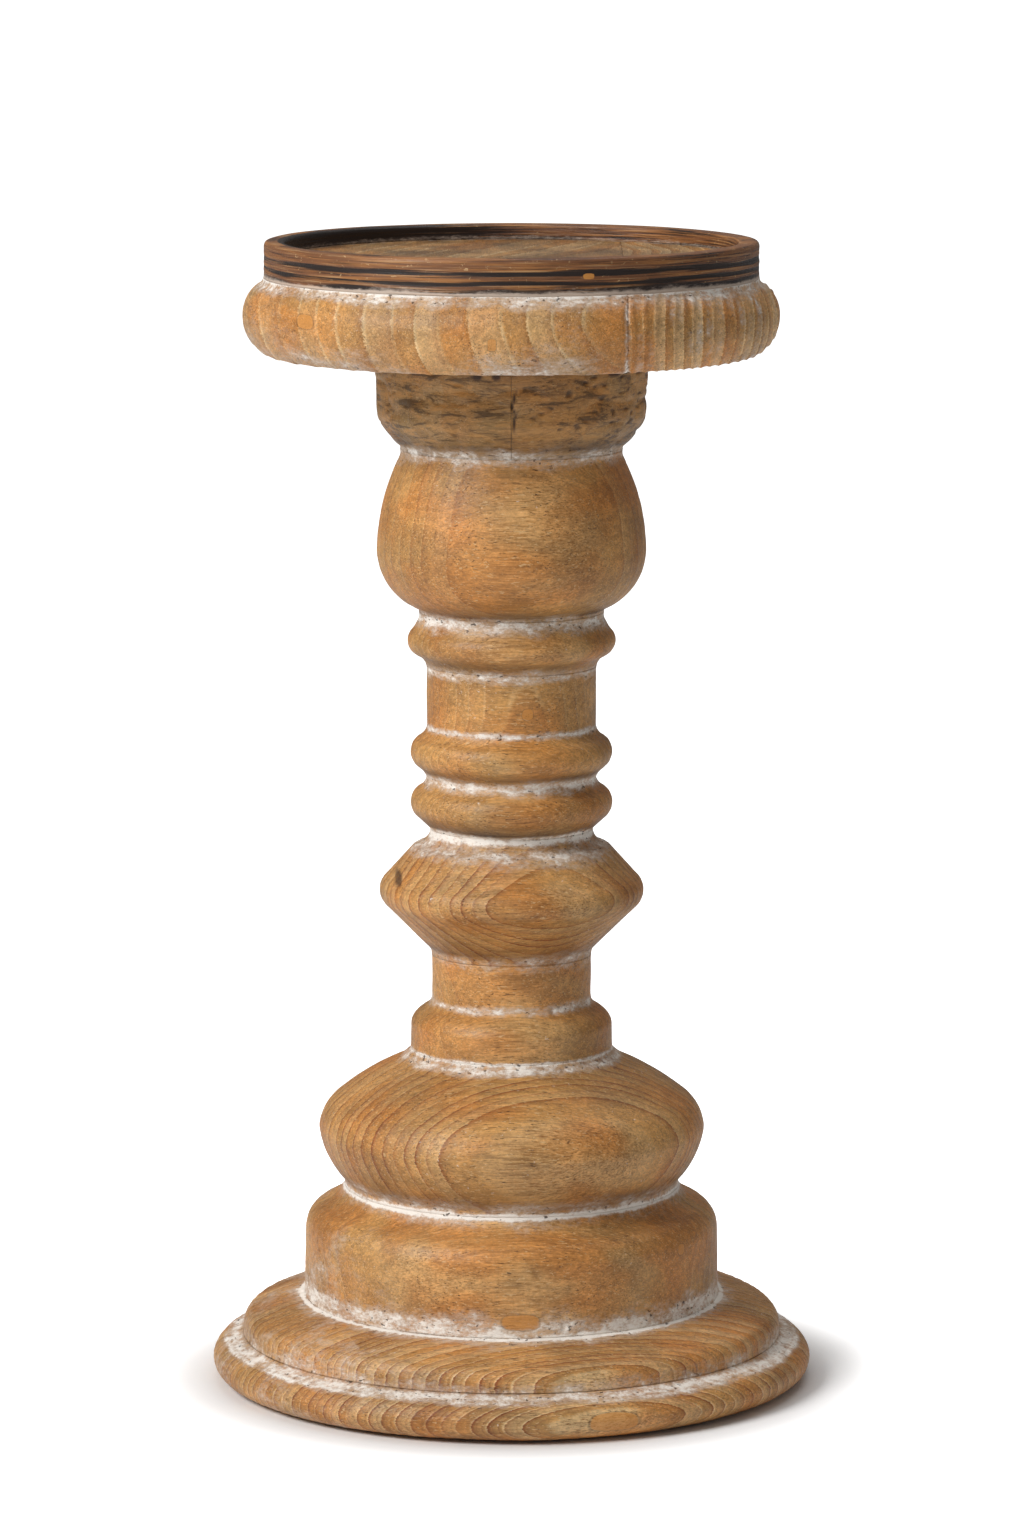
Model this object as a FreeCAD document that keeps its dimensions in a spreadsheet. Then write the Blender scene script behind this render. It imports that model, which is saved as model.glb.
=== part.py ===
import FreeCAD, Part
import math
import os

import Sketcher

# A turned wood pillar candle holder, in millimetres, +Z up, with the origin at the
# middle of the surface that it stands on. Round turnings are stacked on a steel tie
# rod: each is a revolved outline of its own, and rests on the one below it.

SHEET = "sizes"

# Driving sizes. Levels are counted up from a turning's own underside, drops down
# from its top, and "in" and "bulge" sideways from the radius that they belong to.
SIZES = {
    # felt disc under the foot
    "felt_radius": 70.0,
    "felt_thickness": 2.0,
    "felt_proud": 0.5,
    "felt_play": 0.15,
    # foot disc: half-round edge under a ledge that slopes up to the moulding
    "foot_disc_height": 11.4,
    "foot_radius": 80.4,
    "foot_contact_in": 4.8,
    "foot_round_in": 0.2,
    "foot_round_level": 3.4,
    "foot_widest_level": 5.7,
    "foot_brow_in": 1.4,
    "foot_brow_drop": 3.1,
    "foot_ledge_in": 4.7,
    "foot_ledge_drop": 1.0,
    "foot_hole_play": 3.0,
    # foot moulding: upright edge, tight round, then a gentle rise to the drum
    "moulding_height": 10.8,
    "moulding_radius": 72.2,
    "moulding_edge": 2.1,
    "moulding_round_in": 0.9,
    "moulding_round_drop": 5.6,
    "moulding_brow_in": 3.8,
    "moulding_brow_drop": 3.8,
    "moulding_rise_in": 9.8,
    "moulding_rise_drop": 1.4,
    "moulding_pocket_depth": 2.5,
    # drum: rounded shoulder, then a cove under the lower bulb
    "drum_height": 29.7,
    "drum_radius": 55.75,
    "drum_taper": 0.4,
    "shoulder_height": 12.2,
    "shoulder_round_in": 1.3,
    "shoulder_round_drop": 8.4,
    "shoulder_brow_in": 4.75,
    "shoulder_brow_drop": 5.1,
    "shoulder_cove_out": 2.05,
    "shoulder_cove_drop": 2.7,
    # lower bulb: flattened ball, full below and drawn in above
    "lower_bulb_height": 36.9,
    "lower_bulb_radius": 51.8,
    "lower_bulb_widest_level": 15.4,
    "lower_bulb_tuck": 6.95,
    "lower_bulb_edge": 1.5,
    "belly_in": 3.1,
    "belly_level": 6.6,
    "hip_in": 1.3,
    "hip_rise": 4.6,
    "waist_in": 5.4,
    "waist_rise": 9.2,
    "slope_out": 12.2,
    "slope_drop": 7.3,
    "bulb_cove_out": 4.0,
    "bulb_cove_drop": 3.2,
    "bulb_cove_mid_out": 1.7,
    "bulb_cove_mid_drop": 1.6,
    # lower stem: collar with a rounded top, then a short cylinder
    "lower_stem_height": 25.5,
    "lower_stem_radius": 21.35,
    "collar_bulge": 5.65,
    "collar_side": 7.1,
    "collar_round_in": 1.0,
    "collar_round_rise": 2.0,
    "collar_brow_out": 2.05,
    "collar_brow_rise": 4.2,
    "collar_cove_out": 0.65,
    "collar_cove_rise": 5.3,
    "collar_cove_height": 7.2,
    # diamond knop: two cones meeting at a rounded girth
    "knop_height": 34.0,
    "knop_radius": 35.4,
    "knop_widest_level": 17.3,
    "knop_round_in": 2.0,
    "knop_round_height": 4.1,
    "knop_root_out": 1.55,
    "knop_root_level": 2.7,
    "knop_root_mid_out": 0.35,
    "knop_root_mid_level": 1.3,
    "knop_tip_out": 4.5,
    "knop_tip_drop": 4.5,
    "knop_tip_mid_out": 1.4,
    "knop_tip_mid_drop": 3.0,
    "knop_top_radius": 21.7,
    # beads: a round crown between two small coves, each counted from its own root
    "bead_height": 13.7,
    "bead_bulge": 4.35,
    "bead_crown_level": 7.2,
    "bead_cove_out": 0.7,
    "bead_cove_level": 1.35,
    "bead_low_out": 2.1,
    "bead_low_level": 2.7,
    "bead_high_in": 1.6,
    "bead_high_drop": 3.1,
    "bead_top_cove_out": 0.9,
    "bead_top_cove_drop": 1.8,
    # upper stem: two beads, then a short cylinder
    "upper_stem_height": 43.6,
    "upper_stem_radius": 22.65,
    # top ring: one bead and a narrow band
    "top_ring_height": 14.5,
    "top_bead_bulge": 5.15,
    "top_band_radius": 24.6,
    "top_band_height": 1.4,
    # upper bulb: egg shape, blunt end down
    "upper_bulb_height": 43.1,
    "upper_bulb_radius": 35.8,
    "upper_bulb_widest_level": 16.3,
    "blunt_in": 4.8,
    "blunt_level": 4.75,
    "taper_in": 1.75,
    "taper_rise": 13.0,
    "upper_bulb_top_radius": 29.43,
    "upper_bulb_groove": 1.5,
    "upper_bulb_edge": 0.7,
    # neck drum under the dish, in two glued halves
    "neck_height": 24.9,
    "neck_radius": 36.5,
    "neck_groove": 0.6,
    "neck_side_in": 0.55,
    "neck_side_level": 9.0,
    "neck_round_in": 3.2,
    "neck_round_level": 4.3,
    "neck_pocket_play": 1.5,
    "neck_pocket_depth": 10.0,
    # dish: edge-glued boards with a half-round edge and a raised middle
    "dish_edge_height": 20.4,
    "dish_edge_bulge": 5.8,
    "dish_underside_in": 0.7,
    "dish_widest_level": 10.4,
    "dish_low_out": 4.2,
    "dish_low_level": 4.5,
    "dish_high_out": 4.3,
    "dish_high_drop": 4.4,
    "dish_brow_out": 0.7,
    "dish_brow_drop": 1.1,
    "dish_seat_depth": 5.5,
    "dish_joint": 29.5,
    # rim hoop round the dish
    "hoop_height": 9.7,
    "hoop_radius": 65.2,
    "hoop_wall": 5.85,
    "hoop_lip": 1.0,
    "hoop_play": 0.1,
    "hoop_round": 1.0,
    # tie rod with a nut and a washer at each end
    "rod_radius": 4.0,
    "rod_play": 0.3,
    "rod_tail": 0.8,
    "rod_bevel": 0.6,
    "thread_play": 0.02,
    "washer_radius": 10.0,
    "washer_thickness": 1.6,
    "nut_corner_radius": 7.5,
    "nut_height": 6.5,
    # pan-head wood screws, four to a set, and the circles that they stand on
    "screw_shank_radius": 2.0,
    "screw_head_radius": 3.9,
    "screw_head_height": 2.4,
    "screw_point": 3.0,
    "screw_play": 0.2,
    "screw_pilot_extra": 1.0,
    "dish_screw_circle": 22.0,
    "dish_screw_length": 33.0,
    "foot_screw_circle": 54.0,
    "foot_screw_length": 17.0,
}

# Sums of sizes that more than one turning uses.
ROD_HOLE = "rod_radius + rod_play"
LOWER_BULB_FOOT = "lower_bulb_radius - lower_bulb_tuck"
COLLAR_RADIUS = "lower_stem_radius + collar_bulge"
HOOP_INNER = "hoop_radius - hoop_wall"
FOOT_HOLE = "washer_radius + foot_hole_play"
SCREW_CLEAR = "screw_shank_radius + screw_play"
SCREW_HEAD_CLEAR = "screw_head_radius + screw_play"

# Which way the four screws of a set lie from the axis, in degrees.
BEARINGS = (45, 135, 225, 315)

document = FreeCAD.newDocument("candle_holder")


def fill_sheet():
    """Write every driving size into the spreadsheet, one named cell to a row."""
    sheet = document.addObject("Spreadsheet::Sheet", SHEET)
    for row, (name, size) in enumerate(SIZES.items(), start=1):
        sheet.set(f"A{row}", name)
        sheet.set(f"B{row}", str(size))
        sheet.setAlias(f"B{row}", name)
    document.recompute()


def amount(words):
    """The number that a sum of named sizes stands for, such as "a + b - c"."""
    total, sign = 0.0, 1
    for word in words.split():
        if word in "+-":
            sign = 1 if word == "+" else -1
        else:
            total += sign * SIZES[word]
    return total


def bound(words):
    """The same sum as an expression on the spreadsheet."""
    return " ".join(word if word in "+-" else f"{SHEET}.{word}" for word in words.split())


def origin_plane(body, role):
    """One of the body's own three planes."""
    return next(one for one in body.Origin.OriginFeatures if one.Role == role)


def new_sketch(body, name, role):
    """An empty sketch on one of the body's planes."""
    sketch = body.newObject("Sketcher::SketchObject", name)
    sketch.AttachmentSupport = [(origin_plane(body, role), "")]
    sketch.MapMode = "FlatFace"
    return sketch


def hold(sketch, kind, ends, words):
    """A dimension of the sketch that follows a sum of named sizes."""
    index = sketch.addConstraint(Sketcher.Constraint(kind, *ends, amount(words)))
    sketch.setExpression(f"Constraints[{index}]", bound(words))


def pin_point(sketch, shape, end, across, up):
    """Hold a point at two named distances from the sketch's origin.

    An empty name leaves the point on that axis.
    """
    for kind, words, axis in (("DistanceX", across, -2), ("DistanceY", up, -1)):
        if words:
            hold(sketch, kind, (-1, 1, shape, end), words)
        else:
            sketch.addConstraint(Sketcher.Constraint("PointOnObject", shape, end, axis))


def spot(corner):
    """The sketch point of a corner given as two sums of named sizes."""
    return FreeCAD.Vector(amount(corner[0]), amount(corner[1]), 0)


def draw_line(sketch, first, last):
    """A straight side. Returns the shape's number and its first and last ends."""
    return sketch.addGeometry(Part.LineSegment(spot(first), spot(last)), False), 1, 2


def draw_arc(sketch, first, middle, last):
    """A round side through a middle point. Sketch arcs always run anticlockwise."""
    start, through, stop = spot(first), spot(middle), spot(last)
    turn = (through - start).cross(stop - through).z
    ends = (1, 2) if turn > 0 else (2, 1)
    arc = Part.Arc(start, through, stop) if turn > 0 else Part.Arc(stop, through, start)
    shape = sketch.addGeometry(arc, False)
    guide = sketch.addGeometry(Part.Point(through), True)
    pin_point(sketch, guide, 1, *middle)
    sketch.addConstraint(Sketcher.Constraint("PointOnObject", guide, 1, shape))
    return shape, *ends


def draw_outline(sketch, steps):
    """A closed outline. A step is a corner (across, up), or a round side given as
    (across, up, across, up): the point that it passes through, then its end."""
    corners = [step[-2:] for step in steps]
    sides = []
    for number, step in enumerate(steps):
        before = corners[number - 1]
        if len(step) == 2:
            sides.append(draw_line(sketch, before, step))
        else:
            sides.append(draw_arc(sketch, before, step[:2], step[2:]))
    for number, (shape, first, last) in enumerate(sides):
        before = sides[number - 1]
        joined = Sketcher.Constraint("Coincident", before[0], before[2], shape, first)
        sketch.addConstraint(joined)
        pin_point(sketch, shape, last, *corners[number])


def lift(piece, below, height):
    """Set a piece at a height over the underside of the one that it is placed from."""
    level = f"{below.Name}.Placement.Base.z"
    piece.setExpression("Placement.Base.z", f"{level} + ({bound(height)}) * 1 mm" if height else level)


def turned(name, steps, plane="XZ_Plane", angle=360, back=False):
    """A body made by turning an outline round its upright axis."""
    body = document.addObject("PartDesign::Body", name)
    body.Label = name
    sketch = new_sketch(body, f"{name}_outline", plane)
    draw_outline(sketch, steps)
    turning = body.newObject("PartDesign::Revolution", f"{name}_turning")
    turning.Profile = sketch
    turning.ReferenceAxis = (sketch, ["V_Axis"])
    turning.Angle = angle
    turning.Reversed = back
    document.recompute()
    return body


def cut_upwards(body, sketch, depth=None):
    """Cut from the body's underside, right through or to a named depth."""
    before = body.Shape.Volume
    cut = body.newObject("PartDesign::Pocket", f"{sketch.Name}_cut")
    cut.Profile = sketch
    cut.Reversed = True
    if depth:
        cut.Length = amount(depth)
        cut.setExpression("Length", bound(depth))
    else:
        cut.Type = "ThroughAll"
    document.recompute()
    if body.Shape.Volume > before - 1:
        raise RuntimeError(f"{sketch.Name} cuts nothing")


def drill(body, name, circle, radius, depth=None, bearings=BEARINGS):
    """Round holes up from the underside, on a circle about the axis."""
    sketch = new_sketch(body, name, "XY_Plane")
    upright = FreeCAD.Vector(0, 0, 1)
    for bearing in bearings:
        turn = math.radians(bearing)
        middle = FreeCAD.Vector(math.cos(turn), math.sin(turn), 0) * amount(circle)
        ray = sketch.addGeometry(Part.LineSegment(FreeCAD.Vector(), middle), True)
        hole = sketch.addGeometry(Part.Circle(middle, upright, amount(radius)), False)
        sketch.addConstraint(Sketcher.Constraint("Coincident", ray, 1, -1, 1))
        sketch.addConstraint(Sketcher.Constraint("Coincident", ray, 2, hole, 3))
        sketch.addConstraint(Sketcher.Constraint("Angle", ray, turn))
        hold(sketch, "Distance", (ray,), circle)
        hold(sketch, "Radius", (hole,), radius)
    cut_upwards(body, sketch, depth)


def make_felt():
    """Felt disc, which the object rests on."""
    return turned("base_felt", [
        ("", ""),
        ("felt_radius", ""),
        ("felt_radius", "felt_thickness"),
        ("", "felt_thickness"),
    ])


def make_foot_disc(felt):
    """Foot disc, recessed below for the felt and holed for the rod's lower nut."""
    recess = "felt_thickness - felt_proud"
    disc = turned("foot_disc", [
        (FOOT_HOLE, recess),
        ("felt_radius + felt_play", recess),
        ("felt_radius + felt_play", ""),
        ("foot_radius - foot_contact_in", ""),
        ("foot_radius - foot_round_in", "foot_round_level", "foot_radius", "foot_widest_level"),
        ("foot_radius - foot_brow_in", "foot_disc_height - foot_brow_drop",
         "foot_radius - foot_ledge_in", "foot_disc_height - foot_ledge_drop"),
        ("moulding_radius", "foot_disc_height"),
        (FOOT_HOLE, "foot_disc_height"),
    ])
    lift(disc, felt, "felt_proud")
    drill(disc, "foot_screw_holes", "foot_screw_circle", SCREW_CLEAR)
    drill(disc, "foot_screw_heads", "foot_screw_circle", SCREW_HEAD_CLEAR,
          f"{recess} + screw_head_height")
    return disc


def make_moulding(disc):
    """Quarter-round foot moulding. The rod's lower washer bears in its pocket."""
    moulding = turned("foot_moulding", [
        (ROD_HOLE, "moulding_pocket_depth"),
        (FOOT_HOLE, "moulding_pocket_depth"),
        (FOOT_HOLE, ""),
        ("moulding_radius", ""),
        ("moulding_radius", "moulding_edge"),
        ("moulding_radius - moulding_round_in", "moulding_height - moulding_round_drop",
         "moulding_radius - moulding_brow_in", "moulding_height - moulding_brow_drop"),
        ("moulding_radius - moulding_rise_in", "moulding_height - moulding_rise_drop",
         "drum_radius", "moulding_height"),
        (ROD_HOLE, "moulding_height"),
    ])
    lift(moulding, disc, "foot_disc_height")
    drill(moulding, "foot_pilot_holes", "foot_screw_circle", "screw_shank_radius",
          "felt_thickness + foot_screw_length + screw_pilot_extra"
          " - felt_proud - foot_disc_height")
    return moulding


def make_drum(moulding):
    """Upright drum with a rounded shoulder."""
    drum = turned("drum", [
        (ROD_HOLE, ""),
        ("drum_radius", ""),
        ("drum_radius - drum_taper", "drum_height - shoulder_height"),
        ("drum_radius - shoulder_round_in", "drum_height - shoulder_round_drop",
         "drum_radius - shoulder_brow_in", "drum_height - shoulder_brow_drop"),
        (f"{LOWER_BULB_FOOT} + shoulder_cove_out", "drum_height - shoulder_cove_drop",
         LOWER_BULB_FOOT, "drum_height"),
        (ROD_HOLE, "drum_height"),
    ])
    lift(drum, moulding, "moulding_height")
    return drum


def make_lower_bulb(drum):
    """Flattened ball between the drum and the collar."""
    widest = "lower_bulb_widest_level"
    bulb = turned("lower_bulb", [
        (ROD_HOLE, ""),
        (LOWER_BULB_FOOT, ""),
        (LOWER_BULB_FOOT, "lower_bulb_edge"),
        ("lower_bulb_radius - belly_in", "belly_level", "lower_bulb_radius", widest),
        ("lower_bulb_radius - hip_in", f"{widest} + hip_rise",
         "lower_bulb_radius - waist_in", f"{widest} + waist_rise"),
        (f"{COLLAR_RADIUS} + slope_out", "lower_bulb_height - slope_drop",
         f"{COLLAR_RADIUS} + bulb_cove_out", "lower_bulb_height - bulb_cove_drop"),
        (f"{COLLAR_RADIUS} + bulb_cove_mid_out", "lower_bulb_height - bulb_cove_mid_drop",
         COLLAR_RADIUS, "lower_bulb_height"),
        (ROD_HOLE, "lower_bulb_height"),
    ])
    lift(bulb, drum, "drum_height")
    return bulb


def make_lower_stem(bulb):
    """Collar with a rounded top, and a short cylinder."""
    stem = turned("lower_stem", [
        (ROD_HOLE, ""),
        (COLLAR_RADIUS, ""),
        (COLLAR_RADIUS, "collar_side"),
        (f"{COLLAR_RADIUS} - collar_round_in", "collar_side + collar_round_rise",
         "lower_stem_radius + collar_brow_out", "collar_side + collar_brow_rise"),
        ("lower_stem_radius + collar_cove_out", "collar_side + collar_cove_rise",
         "lower_stem_radius", "collar_side + collar_cove_height"),
        ("lower_stem_radius", "lower_stem_height"),
        (ROD_HOLE, "lower_stem_height"),
    ])
    lift(stem, bulb, "lower_bulb_height")
    return stem


def make_knop(stem):
    """Diamond: two cones meeting at a rounded girth."""
    widest = "knop_widest_level"
    knop = turned("diamond_knop", [
        (ROD_HOLE, ""),
        ("lower_stem_radius", ""),
        ("lower_stem_radius + knop_root_mid_out", "knop_root_mid_level",
         "lower_stem_radius + knop_root_out", "knop_root_level"),
        ("knop_radius - knop_round_in", f"{widest} - knop_round_height"),
        ("knop_radius", widest, "knop_radius - knop_round_in", f"{widest} + knop_round_height"),
        ("knop_top_radius + knop_tip_out", "knop_height - knop_tip_drop"),
        ("knop_top_radius + knop_tip_mid_out", "knop_height - knop_tip_mid_drop",
         "knop_top_radius", "knop_height"),
        (ROD_HOLE, "knop_height"),
    ])
    lift(knop, stem, "lower_stem_height")
    return knop


def bead(root, bulge, base, top_root, top):
    """The sides of one bead: a cove, the crown, and a cove again up to its top root."""
    above = f"{base} + " if base else ""
    return [
        (f"{root} + bead_cove_out", f"{above}bead_cove_level",
         f"{root} + bead_low_out", f"{above}bead_low_level"),
        (f"{root} + {bulge}", f"{above}bead_crown_level",
         f"{root} + {bulge} - bead_high_in",
         f"{top} - bead_high_drop"),
        (f"{top_root} + bead_top_cove_out", f"{top} - bead_top_cove_drop", top_root, top),
    ]


def make_upper_stem(knop):
    """Two beads with a groove between them, and a short cylinder above."""
    root = "upper_stem_radius"
    stem = turned("upper_stem", [
        (ROD_HOLE, ""),
        ("knop_top_radius", ""),
        *bead(root, "bead_bulge", "", root, "bead_height"),
        *bead(root, "bead_bulge", "bead_height", root, "bead_height + bead_height"),
        (root, "upper_stem_height"),
        (ROD_HOLE, "upper_stem_height"),
    ])
    lift(stem, knop, "knop_height")
    return stem


def make_top_ring(stem):
    """One bead with a narrow band on top."""
    ring = turned("top_ring", [
        (ROD_HOLE, ""),
        ("upper_stem_radius", ""),
        *bead("upper_stem_radius", "top_bead_bulge", "",
              "top_band_radius", "top_ring_height - top_band_height"),
        ("top_band_radius", "top_ring_height"),
        (ROD_HOLE, "top_ring_height"),
    ])
    lift(ring, stem, "upper_stem_height")
    return ring


def make_upper_bulb(ring):
    """Egg-shaped turning with its blunt end down."""
    widest = "upper_bulb_widest_level"
    bulb = turned("upper_bulb", [
        (ROD_HOLE, ""),
        ("top_band_radius", ""),
        ("top_band_radius", "upper_bulb_edge"),
        ("upper_bulb_radius - blunt_in", "blunt_level", "upper_bulb_radius", widest),
        ("upper_bulb_radius - taper_in", f"{widest} + taper_rise",
         "upper_bulb_top_radius", "upper_bulb_height - upper_bulb_groove"),
        ("upper_bulb_top_radius", "upper_bulb_height"),
        (ROD_HOLE, "upper_bulb_height"),
    ])
    lift(bulb, ring, "top_ring_height")
    return bulb


def make_neck_half(name, bulb, side):
    """Half of the neck drum, with its share of the pocket for the rod's upper nut."""
    neck_pocket = "washer_radius + neck_pocket_play"
    pocket_floor = "neck_height - neck_pocket_depth"
    half = turned(name, [
        (ROD_HOLE, ""),
        ("upper_bulb_top_radius", ""),
        ("upper_bulb_top_radius", "neck_groove"),
        ("neck_radius - neck_round_in", "neck_round_level",
         "neck_radius - neck_side_in", "neck_side_level"),
        ("neck_radius", "neck_height"),
        (neck_pocket, "neck_height"),
        (neck_pocket, pocket_floor),
        (ROD_HOLE, pocket_floor),
    ], plane="YZ_Plane", angle=180, back=side > 0)
    if half.Shape.CenterOfGravity.x * side < 0:
        raise RuntimeError(f"{name} lies on the wrong side")
    lift(half, bulb, "upper_bulb_height")
    bearings = [one for one in BEARINGS if math.cos(math.radians(one)) * side > 0]
    drill(half, f"{name}_screw_holes", "dish_screw_circle", SCREW_CLEAR, None, bearings)
    drill(half, f"{name}_screw_heads", "dish_screw_circle", SCREW_HEAD_CLEAR,
          "screw_head_height", bearings)
    return half


def draw_trim(sketch, side):
    """A rectangle over all of the dish that lies on one side of the glue line."""
    reach = "hoop_radius + dish_edge_bulge + dish_joint + dish_joint"
    joint, far = amount("dish_joint"), amount("dish_joint") + side * amount(reach)
    corners = [(joint, -amount(reach)), (far, -amount(reach)),
               (far, amount(reach)), (joint, amount(reach))]
    spots = [FreeCAD.Vector(*corner, 0) for corner in corners]
    for number, start in enumerate(spots):
        sketch.addGeometry(Part.LineSegment(start, spots[(number + 1) % 4]), False)
    for number, kind in enumerate(("Horizontal", "Vertical", "Horizontal", "Vertical")):
        following = (number + 1) % 4
        sketch.addConstraint(Sketcher.Constraint("Coincident", number, 2, following, 1))
        sketch.addConstraint(Sketcher.Constraint(kind, number))
    width = (0, 1, 0, 2) if side > 0 else (0, 2, 0, 1)
    hold(sketch, "DistanceX", (-1, 1, 0, 1), "dish_joint")
    hold(sketch, "DistanceX", width, reach)
    hold(sketch, "DistanceY", (0, 1, -1, 1), reach)
    hold(sketch, "DistanceY", (-1, 1, 2, 1), reach)


def make_dish_board(name, neck, side):
    """One board of the dish: a whole disc with the other board's share cut away."""
    middle = f"{HOOP_INNER} + hoop_lip"
    board = turned(name, [
        ("", ""),
        ("hoop_radius - dish_underside_in", ""),
        ("hoop_radius + dish_low_out", "dish_low_level",
         "hoop_radius + dish_edge_bulge", "dish_widest_level"),
        ("hoop_radius + dish_high_out", "dish_edge_height - dish_high_drop",
         "hoop_radius + dish_brow_out", "dish_edge_height - dish_brow_drop"),
        ("hoop_radius", "dish_edge_height"),
        (middle, "dish_edge_height"),
        (middle, "dish_edge_height + dish_seat_depth"),
        ("", "dish_edge_height + dish_seat_depth"),
    ])
    lift(board, neck, "neck_height")
    sketch = new_sketch(board, f"{name}_trim", "XY_Plane")
    draw_trim(sketch, -side)
    cut_upwards(board, sketch)
    return board


def make_hoop(board):
    """Rim hoop: it slips over the dish's raised middle, and its lip lies on it."""
    seat = f"{HOOP_INNER} + hoop_lip + hoop_play"
    hoop = turned("rim_hoop", [
        (seat, ""),
        ("hoop_radius", ""),
        ("hoop_radius", "hoop_height"),
        (HOOP_INNER, "hoop_height"),
        (HOOP_INNER, "dish_seat_depth"),
        (seat, "dish_seat_depth"),
    ])
    edges = [f"Edge{number}" for number, edge in enumerate(hoop.Tip.Shape.Edges, start=1)
             if abs(edge.BoundBox.ZMin - amount("hoop_height")) < 0.001]
    rounding = hoop.newObject("PartDesign::Fillet", "rim_hoop_rounding")
    rounding.Base = (document.getObject("rim_hoop_turning"), edges)
    rounding.Radius = amount("hoop_round")
    rounding.setExpression("Radius", bound("hoop_round"))
    lift(hoop, board, "dish_edge_height")
    return hoop


def make_rod(moulding):
    """Tie rod from just below the lower nut to just above the upper one."""
    end = "washer_thickness + nut_height + rod_tail"
    length = ("moulding_height - moulding_pocket_depth + drum_height + lower_bulb_height"
              " + lower_stem_height + knop_height + upper_stem_height + top_ring_height"
              f" + upper_bulb_height + neck_height - neck_pocket_depth + {end} + {end}")
    rod = turned("tie_rod", [
        ("", ""),
        ("rod_radius - rod_bevel", ""),
        ("rod_radius", "rod_bevel"),
        ("rod_radius", f"{length} - rod_bevel"),
        ("rod_radius - rod_bevel", length),
        ("", length),
    ])
    lift(rod, moulding, "moulding_pocket_depth - washer_thickness - nut_height - rod_tail")
    return rod


def make_washer(name, below, height):
    """Flat washer on the tie rod."""
    washer = turned(name, [
        (ROD_HOLE, ""),
        ("washer_radius", ""),
        ("washer_radius", "washer_thickness"),
        (ROD_HOLE, "washer_thickness"),
    ])
    lift(washer, below, height)


def make_nut(name, below, height):
    """Hexagon nut on the tie rod."""
    prism = document.addObject("Part::Prism", f"{name}_prism")
    prism.Polygon = 6
    prism.setExpression("Circumradius", bound("nut_corner_radius"))
    prism.setExpression("Height", bound("nut_height"))
    bore = document.addObject("Part::Cylinder", f"{name}_bore")
    bore.setExpression("Radius", bound("rod_radius + thread_play"))
    bore.setExpression("Height", bound("nut_height"))
    nut = document.addObject("Part::Cut", name)
    nut.Label = name
    nut.Base = prism
    nut.Tool = bore
    lift(nut, below, height)


def make_screws(name, below, height, circle, length):
    """Four pan-head wood screws, standing head down on a circle about the axis."""
    body = document.addObject("PartDesign::Body", name)
    body.Label = name
    body.AllowCompound = True
    sketch = new_sketch(body, f"{name}_outline", "XZ_Plane")
    draw_outline(sketch, [
        (circle, ""),
        (f"{circle} + screw_head_radius", ""),
        (f"{circle} + screw_head_radius", "screw_head_height"),
        (f"{circle} + screw_shank_radius", "screw_head_height"),
        (f"{circle} + screw_shank_radius", f"{length} - screw_point"),
        (circle, length),
    ])
    screw = body.newObject("PartDesign::Revolution", f"{name}_turning")
    screw.Profile = sketch
    screw.ReferenceAxis = (sketch, ["Edge1"])
    screw.Angle = 360
    document.recompute()
    pattern = body.newObject("PartDesign::PolarPattern", f"{name}_pattern")
    pattern.Originals = [screw]
    pattern.Axis = (origin_plane(body, "Z_Axis"), [""])
    pattern.Angle = 360
    pattern.Occurrences = len(BEARINGS)
    body.Tip = pattern
    upright = FreeCAD.Vector(0, 0, 1)
    body.Placement.Rotation = FreeCAD.Rotation(upright, BEARINGS[0])
    lift(body, below, height)


def build():
    """Make every piece, each standing on the one below it."""
    fill_sheet()
    felt = make_felt()
    disc = make_foot_disc(felt)
    moulding = make_moulding(disc)
    lower_bulb = make_lower_bulb(make_drum(moulding))
    knop = make_knop(make_lower_stem(lower_bulb))
    upper_bulb = make_upper_bulb(make_top_ring(make_upper_stem(knop)))
    neck = make_neck_half("neck_half_left", upper_bulb, -1)
    make_neck_half("neck_half_right", upper_bulb, 1)
    board = make_dish_board("dish_board_wide", neck, -1)
    drill(board, "dish_pilot_holes", "dish_screw_circle", "screw_shank_radius",
          "dish_screw_length + screw_pilot_extra - neck_height")
    make_dish_board("dish_board_narrow", neck, 1)
    make_hoop(board)
    make_rod(moulding)
    make_washer("bottom_washer", moulding, "moulding_pocket_depth - washer_thickness")
    make_nut("bottom_nut", moulding, "moulding_pocket_depth - washer_thickness - nut_height")
    make_washer("top_washer", neck, "neck_height - neck_pocket_depth")
    make_nut("top_nut", neck, "neck_height - neck_pocket_depth + washer_thickness")
    make_screws("dish_screws", neck, "", "dish_screw_circle", "dish_screw_length")
    make_screws("foot_screws", felt, "felt_thickness", "foot_screw_circle",
                "foot_screw_length")
    document.recompute()


def export():
    """Check every object, then write each piece's solids to a file of its own."""
    for one in document.Objects:
        if "Invalid" in one.State or "Error" in one.State:
            raise RuntimeError(f"{one.Label} failed: {one.State}")
    pieces = [one for one in document.Objects
              if one.TypeId in ("PartDesign::Body", "Part::Cut")]
    for piece in pieces:
        if piece.Shape.isNull() or not piece.Shape.isValid() or not piece.Shape.Solids:
            raise RuntimeError(f"{piece.Label} has no valid shape")
    os.makedirs("parts", exist_ok=True)
    for piece in pieces:
        piece.Shape.exportStep(f"parts/{piece.Label}.step")
        box = piece.Shape.optimalBoundingBox()
        print(f"{piece.Label}: {len(piece.Shape.Solids)} solids, "
              f"z {box.ZMin:.2f} to {box.ZMax:.2f}, volume {piece.Shape.Volume:.1f}")


build()
export()
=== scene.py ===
"""Turned wood pillar candle holder: limewashed stem and foot, ribbed dish, scorched hoop."""

import math

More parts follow.
